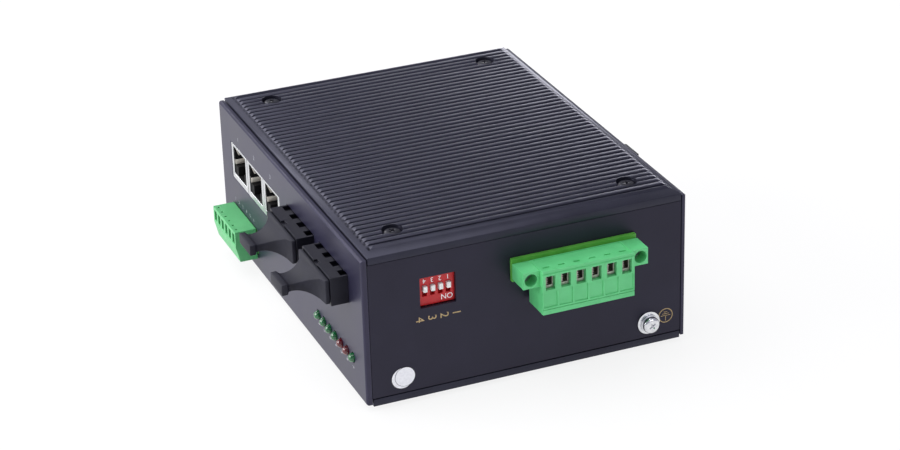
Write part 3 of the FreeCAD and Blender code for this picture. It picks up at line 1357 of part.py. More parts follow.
def clip_plate(middle, floor, face, edge, mouth, lip, grip, hook_back, room_low):
    """Plate with the fixed hook, the latch's channel with a guide on each side, and the spring's stop."""
    low_z, high_z = middle - d.clip_width / 2, middle + d.clip_width / 2
    plate = body("clip_plate")
    profile = [
        (-d.clip_end, floor), (edge + d.hook_block, floor), (edge + d.hook_block, lip), (grip + 0.8, lip),
        (grip, mouth), (edge, mouth), (edge, face), (-d.clip_end, face),
    ]
    pad(plate, "clip_plate_section", "XY", low_z, high_z, [profile])
    half = d.latch_width / 2 + d.latch_play
    channel = rectangle(-d.clip_end - 1, -edge + 1, middle - half, middle + half)
    pocket(plate, "clip_channel", "XZ", floor + d.channel_floor, face + 1, [channel])
    holes = [("facets", x, z, d.screw_hole_radius) for x, z in clip_screw_places()]
    pocket(plate, "clip_holes", "XZ", floor - 1, face + 1, holes)
    sinks = [("facets", x, z, d.clip_sink_radius) for x, z in clip_screw_places()]
    pocket(plate, "clip_sinks", "XZ", face - d.clip_sink_depth, face + 1, sinks)
    stop = rectangle(room_low + 0.1, room_low + d.stop_width, middle - d.spring_half_width,
                     middle + d.spring_half_width)
    pad(plate, "spring_stop", "XZ", floor + 0.1, face - d.seat, [stop])
    guides = [
        rectangle(-d.clip_end, hook_back - d.latch_travel - 0.4, *sorted(
            (middle + (half - 1.5) * side, middle + (half + 2.5) * side), key=lambda s: s.value))
        for side in (-1, 1)
    ]
    for side, guide in zip(("low", "high"), guides):
        pad(plate, f"clip_guide_{side}", "XZ", face, face + 1.2, [guide])
    node(plate, "din_clip_plate")


def latch_spring(middle, low, high, base, top):
    """Zigzag spring strip that pushes the latch towards the rail."""
    strip = body("latch_strip")
    folds = 6
    step = (high - low) / folds
    reach = d.spring_half_width
    slant = d.spring_sheet * 4
    line = [(low + step * n, middle + (reach - slant if n % 2 else -reach)) for n in range(folds + 1)]
    back = [(x, z + slant) for x, z in reversed(line)]
    pad(strip, "latch_strip_pad", "XZ", base + 0.15, top - 0.15, [line + back])
    node(strip, "din_latch_spring")


def write_parts():
    doc.recompute()
    failed = [item.Label for item in doc.Objects if {"Invalid", "Error"} & set(item.State)]
    if failed:
        raise RuntimeError(f"failed: {failed}")
    for item in node_objects:
        if item.Shape.isNull() or not item.Shape.isValid():
            raise RuntimeError(f"{item.Label} has no valid shape")
    os.makedirs("parts", exist_ok=True)
    for item in node_objects:
        item.Shape.exportStep(f"parts/{item.Label}.step")


side_covers()
front_panel()
rear_panel()
end_panels()
cover_screws()
pillars()
board_standoffs()
boards()
io_board_fixings()
board_parts()
rj45_sockets()
fibre_ports()
for cap in range(2):
    node(dust_cap(cap), f"dust_cap_{cap + 1}")
signal_plug()
power_plug()
address_switch()
signal_lamps()
earth_point()
seals()
rail_clip()
write_parts()
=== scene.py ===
import math
from contextlib import contextmanager

import bpy
from bpy.props import FloatProperty, FloatVectorProperty, IntProperty, PointerProperty, StringProperty
from mathutils import Matrix, Vector


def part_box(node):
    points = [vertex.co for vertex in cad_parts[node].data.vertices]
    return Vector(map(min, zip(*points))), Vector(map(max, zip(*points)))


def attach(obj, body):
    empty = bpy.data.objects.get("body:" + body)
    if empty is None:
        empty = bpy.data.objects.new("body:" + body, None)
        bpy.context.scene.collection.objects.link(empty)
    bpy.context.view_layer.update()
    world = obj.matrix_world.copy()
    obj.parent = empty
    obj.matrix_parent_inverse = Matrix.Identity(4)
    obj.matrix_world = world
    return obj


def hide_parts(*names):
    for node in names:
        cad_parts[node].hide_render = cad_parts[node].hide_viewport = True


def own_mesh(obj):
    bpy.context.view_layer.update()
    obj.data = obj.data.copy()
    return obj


bl_info = {
    "name": "DIN Rail Switch Dresser",
    "version": (1, 0, 0),
    "blender": (4, 5, 0),
    "location": "View3D > Sidebar > Rail Switch",
    "description": "Covers, ports, plugs, lamps, marks and finishes of a rail-mounted network switch",
    "category": "Object",
}

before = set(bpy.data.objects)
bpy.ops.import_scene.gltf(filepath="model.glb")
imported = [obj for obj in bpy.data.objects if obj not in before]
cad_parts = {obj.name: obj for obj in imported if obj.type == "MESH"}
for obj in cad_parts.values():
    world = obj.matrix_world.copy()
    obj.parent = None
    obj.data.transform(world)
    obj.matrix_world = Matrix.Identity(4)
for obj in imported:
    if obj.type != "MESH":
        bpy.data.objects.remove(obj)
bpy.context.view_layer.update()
MM = 0.001

# Sizes that several pieces share, in millimetres.
COVER_SCREW_X = 55.2
PAN_RADIUS, PAN_HEIGHT = 2.75, 1.9
POWER_PITCH, POWER_WAYS = 5.08, 6
LAMP_PITCH, LAMP_RADIUS, LAMPS = 5.08, 1.5, 7
SIGNAL_PITCH, SIGNAL_WAYS = 3.81, 6
JACK_PITCH, JACK_FIRST, JACKS = 16.45, 8.05, 3
LEVER_PITCH = 2.54


# ---------------------------------------------------------------- colours and nodes


def linear(hex_colour):
    """Linear RGBA of an sRGB hex colour."""
    channels = [int(hex_colour[i:i + 2], 16) / 255 for i in (1, 3, 5)]
    return [c / 12.92 if c <= 0.04045 else ((c + 0.055) / 1.055) ** 2.4 for c in channels] + [1.0]


def add_node(tree, kind, settings=None, links=None):
    """Adds one node; settings are attributes or input values, links map its inputs to output sockets."""
    node = tree.nodes.new(kind)
    for name, value in (settings or {}).items():
        if isinstance(name, int) or name in node.inputs:
            node.inputs[name].default_value = value
        else:
            setattr(node, name, value)
    for name, socket in (links or {}).items():
        tree.links.new(socket, node.inputs[name])
    return node


def start_material(name):
    """An empty node material with its output, ready for a shader."""
    material = bpy.data.materials.new(name)
    material.use_nodes = True
    tree = material.node_tree
    tree.nodes.clear()
    output = tree.nodes.new("ShaderNodeOutputMaterial")
    place = tree.nodes.new("ShaderNodeTexCoord").outputs["Object"]
    return material, tree, output, place


def noise_field(tree, place, grain_mm, detail):
    """Uneven value from 0 to 1 over patches of grain_mm."""
    settings = {"Scale": 1 / (grain_mm * MM), "Detail": detail}
    return add_node(tree, "ShaderNodeTexNoise", settings, {"Vector": place}).outputs["Fac"]


def varied_colour(tree, place, colour, second, grain_mm, low=0.35, high=0.65):
    """Colour that drifts between two close tones over patches of grain_mm."""
    ramp = add_node(tree, "ShaderNodeValToRGB", {}, {"Fac": noise_field(tree, place, grain_mm, 3.0)})
    for stop, position, tone in zip(ramp.color_ramp.elements, (low, high), (colour, second)):
        stop.position = position
        stop.color = linear(tone)
    return ramp.outputs["Color"]


def varied_roughness(tree, place, low, high, grain_mm):
    """Gloss that drifts between two roughness values over patches of grain_mm."""
    span = add_node(tree, "ShaderNodeMapRange", {"To Min": low, "To Max": high}, {
        "Value": noise_field(tree, place, grain_mm, 2.0),
    })
    return span.outputs["Result"]


def relief(tree, height, depth_mm):
    """Bump that takes its height from a pattern."""
    bump = add_node(tree, "ShaderNodeBump", {"Strength": 1.0, "Distance": depth_mm * MM}, {"Height": height})
    return bump.outputs["Normal"]


def grain_bump(tree, place, grain_mm, depth_mm, stretch):
    """Relief of a fine noise; stretch above 1 packs it tighter along that axis."""
    mapping = add_node(tree, "ShaderNodeMapping", {"Scale": stretch}, {"Vector": place})
    return relief(tree, noise_field(tree, mapping.outputs["Vector"], grain_mm, 2.0), depth_mm)


def surface(name, colour, second, patch, rough, grain, depth, stretch=(1, 1, 1), **values):
    """A surface with two close tones and uneven gloss over patches, and a fine grain, in millimetres."""
    material, tree, output, place = start_material(name)
    shader = add_node(tree, "ShaderNodeBsdfPrincipled", values, {
        "Base Color": varied_colour(tree, place, colour, second, patch),
        "Roughness": varied_roughness(tree, place, rough[0], rough[1], patch),
        "Normal": grain_bump(tree, place, grain, depth, stretch),
    })
    tree.links.new(shader.outputs["BSDF"], output.inputs["Surface"])
    return material


MATERIALS = {}


def make_materials():
    """Every finish of the switch: two tones, patch size, roughness range, grain and its depth."""
    def add(name, *look, **values):
        MATERIALS[name] = surface(name, *look, **values)

    # Anodised aluminium, extruded then bead blasted: a dark satin metal with faint draw lines along the ribs.
    add(
        "anodised_aluminium", "#22222D", "#272733", 9.0, (0.36, 0.46), 0.18, 0.006, (3.0, 0.15, 3.0),
        **{"Metallic": 0.35, "Specular Tint": (0.8, 0.8, 1.0, 1.0)},
    )
    # Powder coat on steel sheet: nearly black, even, with the slight orange peel of a sprayed finish.
    add(
        "powder_coat", "#1D1C2E", "#212034", 14.0, (0.34, 0.42), 0.7, 0.008,
        **{"Specular IOR Level": 0.55, "Specular Tint": (0.82, 0.78, 1.0, 1.0)},
    )
    # The same coat on the end plates, painted a shade darker with less shine and a violet cast in its
    # reflections: painted shade for the end faces, which get less light.
    add(
        "powder_coat_painted_shade", "#171722", "#1B1B27", 14.0, (0.34, 0.42), 0.7, 0.008,
        **{"Specular IOR Level": 0.38, "Specular Tint": (0.8, 0.75, 1.0, 1.0)},
    )
    # Zinc-plated steel: bright grey-blue metal with cloudy gloss.
    add("zinc_plated_steel", "#B9BBC0", "#A6A8AF", 1.5, (0.22, 0.4), 0.2, 0.003, Metallic=1.0)
    # Bright zinc of the earth point: polished before plating, so it mirrors the room.
    add("bright_zinc", "#E4E5E8", "#D2D3D8", 1.5, (0.12, 0.24), 0.2, 0.002, Metallic=1.0)
    # Black oxide on machine screws: dark metal with soft highlights.
    add("black_oxide", "#1E1E25", "#2A2A33", 0.8, (0.25, 0.4), 0.15, 0.003, Metallic=0.5)
    # Nickel-plated sheet of the sockets: a light mirror with fine rolling marks.
    add("nickel_plate", "#DADBDD", "#C9CBCF", 2.0, (0.16, 0.3), 0.25, 0.002, (1, 1, 4.0), Metallic=1.0)
    # Gold-plated contact wire: warm and bright.
    add("gold_plate", "#E6C982", "#D8B765", 0.6, (0.18, 0.3), 0.1, 0.001, Metallic=1.0)
    # Turned brass of the standoffs: yellow metal with tool marks round the axis.
    add("turned_brass", "#C9A55A", "#B8934A", 1.0, (0.25, 0.4), 0.2, 0.004, (1, 1, 6), Metallic=1.0)
    # Plated steel of the wire clamps: a matt light metal with a yellow cast.
    add("clamp_steel", "#C8C4BC", "#9E9A92", 0.8, (0.28, 0.5), 0.2, 0.006, Metallic=1.0)
    # Plain aluminium of heatsink and capacitor cans: light grey, half matt.
    add("plain_aluminium", "#C4C6C9", "#B4B6BA", 2.0, (0.3, 0.45), 0.3, 0.004, Metallic=1.0)
    # PBT, moulded green: opaque, a little waxy, with the fine spark texture of the tool.
    add("green_pbt", "#4CA465", "#54AC6C", 5.0, (0.36, 0.48), 0.35, 0.006)
    # The same plastic of the large plug, from a lighter batch: fresher green.
    add("light_green_pbt", "#5CC47B", "#64CB83", 5.0, (0.36, 0.48), 0.35, 0.006)
    # PBT, moulded yellow-green, of the board headers: flatter and darker.
    add("lime_pbt", "#4E9E36", "#59A93E", 4.0, (0.4, 0.5), 0.35, 0.006)
    # PBT, moulded black, of the fibre ports and the rail clip: nearly black with a cool, soft shine.
    add(
        "black_pbt", "#121219", "#16161E", 4.0, (0.34, 0.5), 0.3, 0.006,
        **{"Specular IOR Level": 0.36, "Specular Tint": (0.85, 0.85, 1.0, 1.0)},
    )
    # The same plastic inside the sockets, given a darker colour as painted shade of the socket recesses, with
    # a dull moulded face that throws back little light.
    add(
        "matt_black_pbt_painted_shade", "#08080A", "#0C0C0F", 4.0, (0.6, 0.75), 0.3, 0.006, **{"Specular IOR Level": 0.25},
    )
    # Tin-plated spring bronze: pale, matt, between metal and grey.
    add("tin_plate", "#E3DED2", "#D2CDC2", 0.8, (0.35, 0.5), 0.2, 0.002, Metallic=0.35)
    # Thermoplastic rubber of the dust caps: dull dark grey that scatters light evenly.
    add(
        "cap_rubber", "#1D1D26", "#23232D", 3.0, (0.5, 0.62), 0.25, 0.010, **{"Specular IOR Level": 0.22},
    )
    # ABS, moulded red: saturated and smooth.
    add("red_abs", "#B81018", "#C0151C", 2.5, (0.3, 0.42), 0.2, 0.003)
    # ABS, moulded white, of the slide levers: clean and half glossy.
    add("white_abs", "#F0F0EC", "#E6E6E1", 1.0, (0.32, 0.45), 0.15, 0.003)
    # Screen-printed ink in white, grey and gold: thin, matt, with slightly uneven cover.
    add("white_ink", "#F8F8F6", "#EAEAE8", 0.4, (0.5, 0.65), 0.08, 0.002)
    add("grey_ink", "#B6B6BC", "#9C9CA4", 0.4, (0.5, 0.65), 0.08, 0.002)
    add("gold_ink", "#BCA273", "#A08A60", 0.4, (0.5, 0.65), 0.08, 0.002)
    # Tinted epoxy of the lamps: clear lacquer look over a deep colour.
    add(
        "green_epoxy", "#0E5C30", "#14703B", 1.2, (0.08, 0.16), 0.5, 0.002,
        **{"Transmission Weight": 0.25, "Coat Weight": 0.6, "Coat Roughness": 0.08},
    )
    add(
        "red_epoxy", "#560A16", "#6A0F1D", 1.2, (0.08, 0.16), 0.5, 0.002,
        **{"Transmission Weight": 0.25, "Coat Weight": 0.6, "Coat Roughness": 0.08},
    )
    # Coated paper of the seal: white, with fibres that make it slightly uneven; and a dark grey for the rings
    # round the discs' edges, which are painted shade of the raised edges.
    add("seal_paper", "#FAFAFC", "#F0F0F3", 0.9, (0.45, 0.6), 0.3, 0.02)
    add("seal_edge_painted_shade", "#3A3A40", "#4A4A50", 0.6, (0.5, 0.6), 0.3, 0.004)
    # FR-4 laminate under solder mask: deep green with a weave that shows faintly.
    MATERIALS["solder_mask"] = weave_material()
    # Zirconia sleeve, ground: clean off-white.
    add("zirconia", "#EDEDE8", "#E4E4DF", 1.0, (0.2, 0.3), 0.2, 0.001)
    # Moulded epoxy of chips and coils: dull charcoal.
    add("mould_compound", "#232327", "#2B2B2F", 2.0, (0.55, 0.7), 0.2, 0.01)
    # PBT, moulded blue, of the relay case: deep blue, half matt.
    add("blue_pbt", "#20305E", "#26376A", 3.0, (0.35, 0.45), 0.3, 0.004)


def weave_material():
    """Green lacquer over glass cloth."""
    material, tree, output, place = start_material("solder_mask")
    # One band every 1 mm: real glass cloth has a thread every 0.5 mm, which would be too fine to show.
    bands = {"Scale": 1 / (3.2 * MM), "wave_type": "BANDS"}
    wave = add_node(tree, "ShaderNodeTexWave", bands, {"Vector": place})
    shader = add_node(tree, "ShaderNodeBsdfPrincipled", {"Roughness": 0.35}, {
        "Base Color": varied_colour(tree, place, "#0E4A2C", "#125534", 5.0),
        "Normal": relief(tree, wave.outputs["Fac"], 0.004),
    })
    tree.links.new(shader.outputs["BSDF"], output.inputs["Surface"])
    return material


# ---------------------------------------------------------------- modelling helpers


def only(piece):
    """Makes one object the whole selection."""
    bpy.ops.object.select_all(action="DESELECT")
    piece.select_set(True)
    bpy.context.view_layer.objects.active = piece


def settle(piece):
    """Puts the object's place, turn and scale into its mesh."""
    only(piece)
    bpy.ops.object.transform_apply(location=True, rotation=True, scale=True)
    return piece


def cuboid(name, low, high):
    """A box between two corners, in millimetres."""
    low, high = Vector(low) * MM, Vector(high) * MM
    bpy.ops.object.select_all(action="DESELECT")
    bpy.ops.mesh.primitive_cube_add(size=1, location=(low + high) / 2, scale=high - low)
    bpy.context.object.name = name
    return settle(bpy.context.object)


def disc(name, radius, depth, base=0.0, sides=32):
    """A cylinder on Z with its foot at base, in millimetres."""
    bpy.ops.object.select_all(action="DESELECT")
    bpy.ops.mesh.primitive_cylinder_add(
        vertices=sides, radius=radius * MM, depth=depth * MM, location=(0, 0, (base + depth / 2) * MM)
    )
    bpy.context.object.name = name
    return settle(bpy.context.object)


@contextmanager
def editing(piece, kind="FACE", test=None):
    """Edit mode on one piece, with the elements selected whose middle and normal pass the test."""
    only(piece)
    bpy.context.tool_settings.mesh_select_mode = (kind == "VERT", kind == "EDGE", kind == "FACE")
    mesh = piece.data
    for group in (mesh.vertices, mesh.edges, mesh.polygons):
        group.foreach_set("select", [test is None] * len(group))
    if test and kind == "FACE":
        for face in mesh.polygons:
            face.select = test(face.center / MM, face.normal)
    if test and kind == "EDGE":
        for edge in mesh.edges:
            a, b = (mesh.vertices[i].co / MM for i in edge.vertices)
            edge.select = test((a + b) / 2, (b - a).normalized())
    bpy.ops.object.mode_set(mode="EDIT")
    yield
    bpy.ops.object.mode_set(mode="OBJECT")


def grow(step, scale=(1, 1, 1), centre=(0, 0, 0)):
    """Extrudes the selected faces by step and scales them about centre, in millimetres."""
    bpy.ops.mesh.extrude_region_move(TRANSFORM_OT_translate={"value": Vector(step) * MM})
    bpy.ops.transform.resize(value=scale, center_override=Vector(centre) * MM)


def modify(piece, kind, **settings):
    """Adds a modifier and applies it."""
    modifier = piece.modifiers.new(kind.lower(), kind)
    for name, value in settings.items():
        setattr(modifier, name, value)
    only(piece)
    bpy.ops.object.modifier_apply(modifier=modifier.name)
    return piece


def carve(piece, *cutters, operation="DIFFERENCE"):
    """Cuts the cutters out of a piece, or unites them with it; the cutters go."""
    for cutter in cutters:
        modify(piece, "BOOLEAN", operation=operation, solver="EXACT", object=cutter)
        bpy.data.objects.remove(cutter)
    return piece


def round_edges(piece, width, segments=2, angle=35):
    """Bevels the edges sharper than an angle; width in millimetres."""
    return modify(
        piece, "BEVEL", width=width * MM, segments=segments, limit_method="ANGLE",
        angle_limit=math.radians(angle), use_clamp_overlap=True,
    )


def join(name, *pieces):
    """One piece out of several."""
    only(pieces[0])
    for piece in pieces[1:]:
        piece.select_set(True)
    bpy.ops.object.join()
    pieces[0].name = name
    return pieces[0]


def smooth(piece, angle=30):
    """Smooth shading up to an angle."""
    only(piece)
    bpy.ops.object.shade_smooth_by_angle(angle=math.radians(angle))
    return piece


def stamp(name, master, places):
    """Copies of a finished master, each with its own mesh, joined as one piece; the master goes."""
    copies = []
    for place in places:
        copy = master.copy()
        copy.data = master.data.copy()
        bpy.context.collection.objects.link(copy)
        copy.data.transform(place)
        copies.append(copy)
    bpy.data.objects.remove(master)
    return join(name, *copies)


def place(x, y, z, turn=None):
    """Matrix that turns a piece and then moves it, in millimetres."""
    return Matrix.Translation(Vector((x, y, z)) * MM) @ (turn or Matrix.Identity(4))


def turned(degrees, axis):
    """Turn about an axis through the origin."""
    return Matrix.Rotation(math.radians(degrees), 4, axis)


def dress(piece, material, body="chassis", replaces=()):
    """Gives a piece its finish and its body, and hides the CAD nodes it stands for."""
    piece.data.materials.clear()
    piece.data.materials.append(MATERIALS[material])
    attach(piece, body)
    if replaces:
        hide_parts(*replaces)
    return piece


def box_mm(node):
    """Lowest and highest corner of a CAD node, in millimetres."""
    low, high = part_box(node)
    return Vector(low) / MM, Vector(high) / MM


# ---------------------------------------------------------------- settings


class RAILSWITCH_PG_housing(bpy.types.PropertyGroup):
    rib_count: IntProperty(name="Ribs", description="Ribs on one cover", default=45, min=1)
    rib_pitch: FloatProperty(name="Rib pitch", description="Rib spacing in millimetres", default=2.7478)
    rib_width: FloatProperty(name="Rib width", description="Width of one rib in millimetres", default=2.0)
    rib_rise: FloatProperty(name="Rib height", description="Rib height in millimetres", default=0.6)
    bevel_rise: FloatProperty(name="Bevel height", description="Height of the bevels, in mm", default=1.7)
    end_run: FloatProperty(name="End bevel", description="Width of the end bevels, in mm", default=4.3)
    face_run: FloatProperty(name="Face bevel", description="Width of the long bevels, in mm", default=3.6)
    latch_travel: FloatProperty(name="Latch travel", description="Pull of the latch, in mm", default=3.0)
    spring_folds: IntProperty(name="Spring folds", description="Slants of the latch spring", default=6, min=2)


class RAILSWITCH_PG_caps(bpy.types.PropertyGroup):
    waist: FloatProperty(name="Waist radius", description="Hollow side of a cap in millimetres", default=7.7)
    steps: IntProperty(name="Steps", description="Sections along a dust cap's curve", default=12, min=4)


class RAILSWITCH_PG_marks(bpy.types.PropertyGroup):
    way_numbers: StringProperty(name="Lever numbers", description="Numbers over the levers", default="1234")
    on_word: StringProperty(name="On word", description="Word at the levers' on side", default="ON")
    ink_height: FloatProperty(name="Ink", description="Thickness of the marks in millimetres", default=0.03)


class RAILSWITCH_PG_stage(bpy.types.PropertyGroup):
    camera_place: FloatVectorProperty(
        name="Camera", description="Camera position", size=3, subtype="TRANSLATION", unit="LENGTH",
        default=(0.69064, -0.27494, 0.38028),
    )
    camera_aim: FloatVectorProperty(
        name="Aim", description="Point the camera looks at", size=3, subtype="TRANSLATION", unit="LENGTH",
        default=(0.00001, 0.00233, 0.02196),
    )
    lens: FloatProperty(name="Lens", description="Focal length in millimetres", default=100.94)
    roll: FloatProperty(name="Roll", description="Camera roll", subtype="ANGLE", default=math.radians(-1.73))
    key_power: FloatProperty(name="Key light", description="Power of the top light in watts", default=10.0)
    sky: FloatProperty(name="Sky", description="Strength of the surrounding light", default=0.5)


# ---------------------------------------------------------------- housing


class RAILSWITCH_OT_covers(bpy.types.Operator):
    """Ribbed upper and lower covers with bevelled rims and counterbored screw places"""

    bl_idname = "railswitch.covers"
    bl_label = "Ribbed covers"

    def execute(self, context):
        s = context.scene.railswitch_housing
        low, high = box_mm("upper_side_cover")
        wall, roof = 1.2, 1.7
        crest, half = high.z, high.x
        valley, edge = crest - s.rib_rise, crest - s.bevel_rise
        slope = (valley - edge) / s.bevel_rise
        middle, reach = (low.y + high.y) / 2, (high.y - low.y) / 2
        shell = cuboid("cover_shell", low, (half, high.y, edge))
        with editing(shell, "FACE", lambda c, n: n.z > 0.9):
            grow(
                (0, 0, valley - edge), (1 - s.end_run * slope / half, 1 - s.face_run * slope / reach, 1),
                (0, middle, valley),
            )
        room = cuboid("room", (wall - half, low.y - 1, low.z - 1), (half - wall, high.y + 1, edge - roof))
        carve(shell, room)
        ribs = self.ribs(s, low, high, valley, crest)
        for solid in (ribs, shell):
            carve(solid, *self.bores(crest))
        round_edges(shell, 0.12, 2)
        upper = smooth(join("upper_cover_ribbed", shell, ribs), 40)
        lower = upper.copy()
        lower.data = upper.data.copy()
        lower.name = "lower_cover_ribbed"
        context.collection.objects.link(lower)
        lower.data.transform(Matrix.Translation((0, 0, crest * MM)) @ turned(180, "Y"))
        dress(upper, "anodised_aluminium", replaces=["upper_side_cover"])
        dress(lower, "anodised_aluminium", replaces=["lower_side_cover"])
        return {"FINISHED"}

    def ribs(self, s, low, high, valley, crest):
        """The row of round-shouldered ribs and the two end ridges, cut off along the face bevels."""
        sunk, shoulder_round, ridge_taper = 0.3, 0.62, 0.12
        root = valley - sunk
        start = -s.rib_pitch * (s.rib_count - 1) / 2
        rib = cuboid("rib", (start - s.rib_width / 2, low.y, root), (start + s.rib_width / 2, high.y, crest))
        with editing(rib, "EDGE", lambda c, d: c.z > valley and abs(d.y) > 0.9):
            bpy.ops.mesh.bevel(offset=shoulder_round * MM, segments=4, profile=0.55)
        modify(
            rib, "ARRAY", count=s.rib_count, use_relative_offset=False, use_constant_offset=True,
            constant_offset_displace=(s.rib_pitch * MM, 0, 0),
        )
        ridges = []
        shoulder = high.x - s.end_run
        foot = shoulder + s.end_run * s.rib_rise / s.bevel_rise
        for side in (-1, 1):
            inner, outer = sorted(((shoulder - 1) * side, foot * side))
            ridge = cuboid("ridge", (inner, low.y, root), (outer, high.y, crest))
            with editing(ridge, "FACE", lambda c, n: n.z > 0.9):
                bpy.ops.transform.resize(
                    value=(ridge_taper, 1, 1), center_override=(shoulder * side * MM, 0, crest * MM)
                )
            ridges.append(ridge)
        row = join("ribs", rib, *ridges)
        for edge_y, sign in ((low.y, -1), (high.y, 1)):
            normal = Vector((0, sign * s.bevel_rise, s.face_run)).normalized()
            rim = Vector((0, edge_y, crest - s.bevel_rise)) * MM
            with editing(row):
                bpy.ops.mesh.bisect(plane_co=rim, plane_no=normal, clear_outer=True, use_fill=True)
        return row

    def bores(self, crest):
        """Counterbore cutters at the four screw places."""
        sink_radius, sink_depth, hole_radius = 3.35, 2.3, 1.65
        tools = []
        for x, y in cover_screw_spots():
            sink = disc("sink", sink_radius, 6, crest - sink_depth, 40)
            hole = disc("hole", hole_radius, 12, crest - 8, 24)
            for tool in (sink, hole):
                tool.data.transform(place(x, y, 0))
                tools.append(tool)
        return tools


def cover_screw_spots():
    """(x, y) of one cover's four screws, in millimetres."""
    low, high = box_mm("cover_screws")
    inset = high.x - COVER_SCREW_X
    return [(x, y) for x in (-COVER_SCREW_X, COVER_SCREW_X) for y in (low.y + inset, high.y - inset)]


def pan_head(name):
    """Cross-recessed pan head on a short shank, seat at Z = 0."""
    width, level = PAN_RADIUS, PAN_HEIGHT * 0.42
    head = disc(name, width, level, 0, 40)
    with editing(head, "FACE", lambda c, n: n.z > 0.9):
        for share, rise in ((0.965, 0.22), (0.87, 0.2), (0.7, 0.11), (0.45, 0.05)):
            step, wide = PAN_HEIGHT * rise, PAN_RADIUS * share
            level += step
            grow((0, 0, step), (wide / width, wide / width, 1), (0, 0, level))
            width = wide
    slots = []
    long, broad, floor = PAN_RADIUS * 0.56, PAN_RADIUS * 0.13, PAN_HEIGHT * 0.3
    for turn in (0, 90):
        slot = cuboid("slot", (-long, -broad, floor), (long, broad, PAN_HEIGHT + 1))
        with editing(slot, "FACE", lambda c, n: n.z < -0.9):
            bpy.ops.transform.resize(value=(0.45, 0.6, 1), center_override=(0, 0, floor * MM))
        slot.data.transform(turned(turn, "Z"))
        slots.append(slot)
    carve(head, *slots)
    shank = disc("shank", 1.5, 4, -3.9, 24)
    round_edges(head, 0.06, 2, 40)
    return smooth(join(name, head, shank), 35)


class RAILSWITCH_OT_screws(bpy.types.Operator):
    """Cross-head screws of the covers, the rail clip and the earth point, with the earth point's washers"""

    bl_idname = "railswitch.screws"
    bl_label = "Screws and washers"

    def execute(self, context):
        low, high = box_mm("cover_screws")
        turns = (12, 63, 31, 78, 5, 40, 70, 22)
        over, lie = turned(180, "X"), turned(-90, "X")
        places = []
        for number, (x, y) in enumerate(cover_screw_spots()):
            places.append(place(x, y, high.z - PAN_HEIGHT, turned(turns[number], "Z")))
            places.append(place(x, y, low.z + PAN_HEIGHT, over @ turned(turns[number + 4], "Z")))
        screws = stamp("cover_pan_screws", pan_head("pan"), places)
        dress(screws, "black_oxide", replaces=["cover_screws"])
        low, high = box_mm("din_clip_screws")
        places = [
            place(x, high.y - PAN_HEIGHT, z, lie @ turned(turns[i * 2 + j], "Z"))
            for i, x in enumerate((low.x + PAN_RADIUS, high.x - PAN_RADIUS))
            for j, z in enumerate((low.z + PAN_RADIUS, high.z - PAN_RADIUS))
        ]
        screws = stamp("clip_pan_screws", pan_head("pan"), places)
        dress(screws, "zinc_plated_steel", replaces=["din_clip_screws"])
        self.earth_point()
        return {"FINISHED"}

    def earth_point(self):
        """Flat washer, split lock washer and screw, stacked on the end panel."""
        eye = 1.75
        lie = turned(90, "Y")
        low, high = box_mm("earth_flat_washer")
        y, z = (low.y + high.y) / 2, (low.z + high.z) / 2
        flat = ring("flat_ring", (high.y - low.y) / 2, eye, high.x - low.x)
        flat.data.transform(place(low.x, y, z, lie))
        dress(flat, "bright_zinc", replaces=["earth_flat_washer"])
        low, high = box_mm("earth_lock_washer")
        lock = ring("split_ring", (high.z - low.z) / 2, eye, high.x - low.x)
        gap = cuboid("gap", (0, -0.2, -1), (5, 0.25, 2))
        gap.data.transform(turned(-25, "Z"))
        carve(lock, gap)
        lock.data.transform(place(low.x, y, z, lie))
        dress(smooth(lock), "bright_zinc", replaces=["earth_lock_washer"])
        screw = pan_head("earth_pan_screw")
        screw.data.transform(place(high.x, y, z, lie @ turned(35, "Z")))
        dress(screw, "bright_zinc", replaces=["earth_screw"])


class RAILSWITCH_OT_latch_spring(bpy.types.Operator):
    """Zigzag strip between the rail clip's stop and the latch"""

    bl_idname = "railswitch.latch_spring"
    bl_label = "Latch spring"

    def execute(self, context):
        s = context.scene.railswitch_housing
        low, high = box_mm("din_latch_spring")
        leg, edge = 0.3, 1.2
        length = high.x - low.x
        step = (length - leg) / s.spring_folds
        swing = high.z - low.z - edge
        spring = cuboid("zigzag_latch_spring", low, (low.x + leg, high.y, low.z + edge))
        with editing(spring, "FACE", lambda c, n: n.x > 0.9):
            for fold in range(s.spring_folds):
                grow((step, 0, -swing if fold % 2 else swing))
        round_edges(spring, 0.05, 2)
        dress(smooth(spring), "zinc_plated_steel", replaces=["din_latch_spring"])
        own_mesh(spring)
        return {"FINISHED"}


def ring(name, outer, inner, depth):
    """A flat washer lying on Z = 0 with rounded rims."""
    washer = disc(name, outer, depth, 0, 48)
    carve(washer, disc("eye", inner, depth + 2, -1, 32))
    round_edges(washer, 0.1, 2)
    return smooth(washer)


# ---------------------------------------------------------------- ports


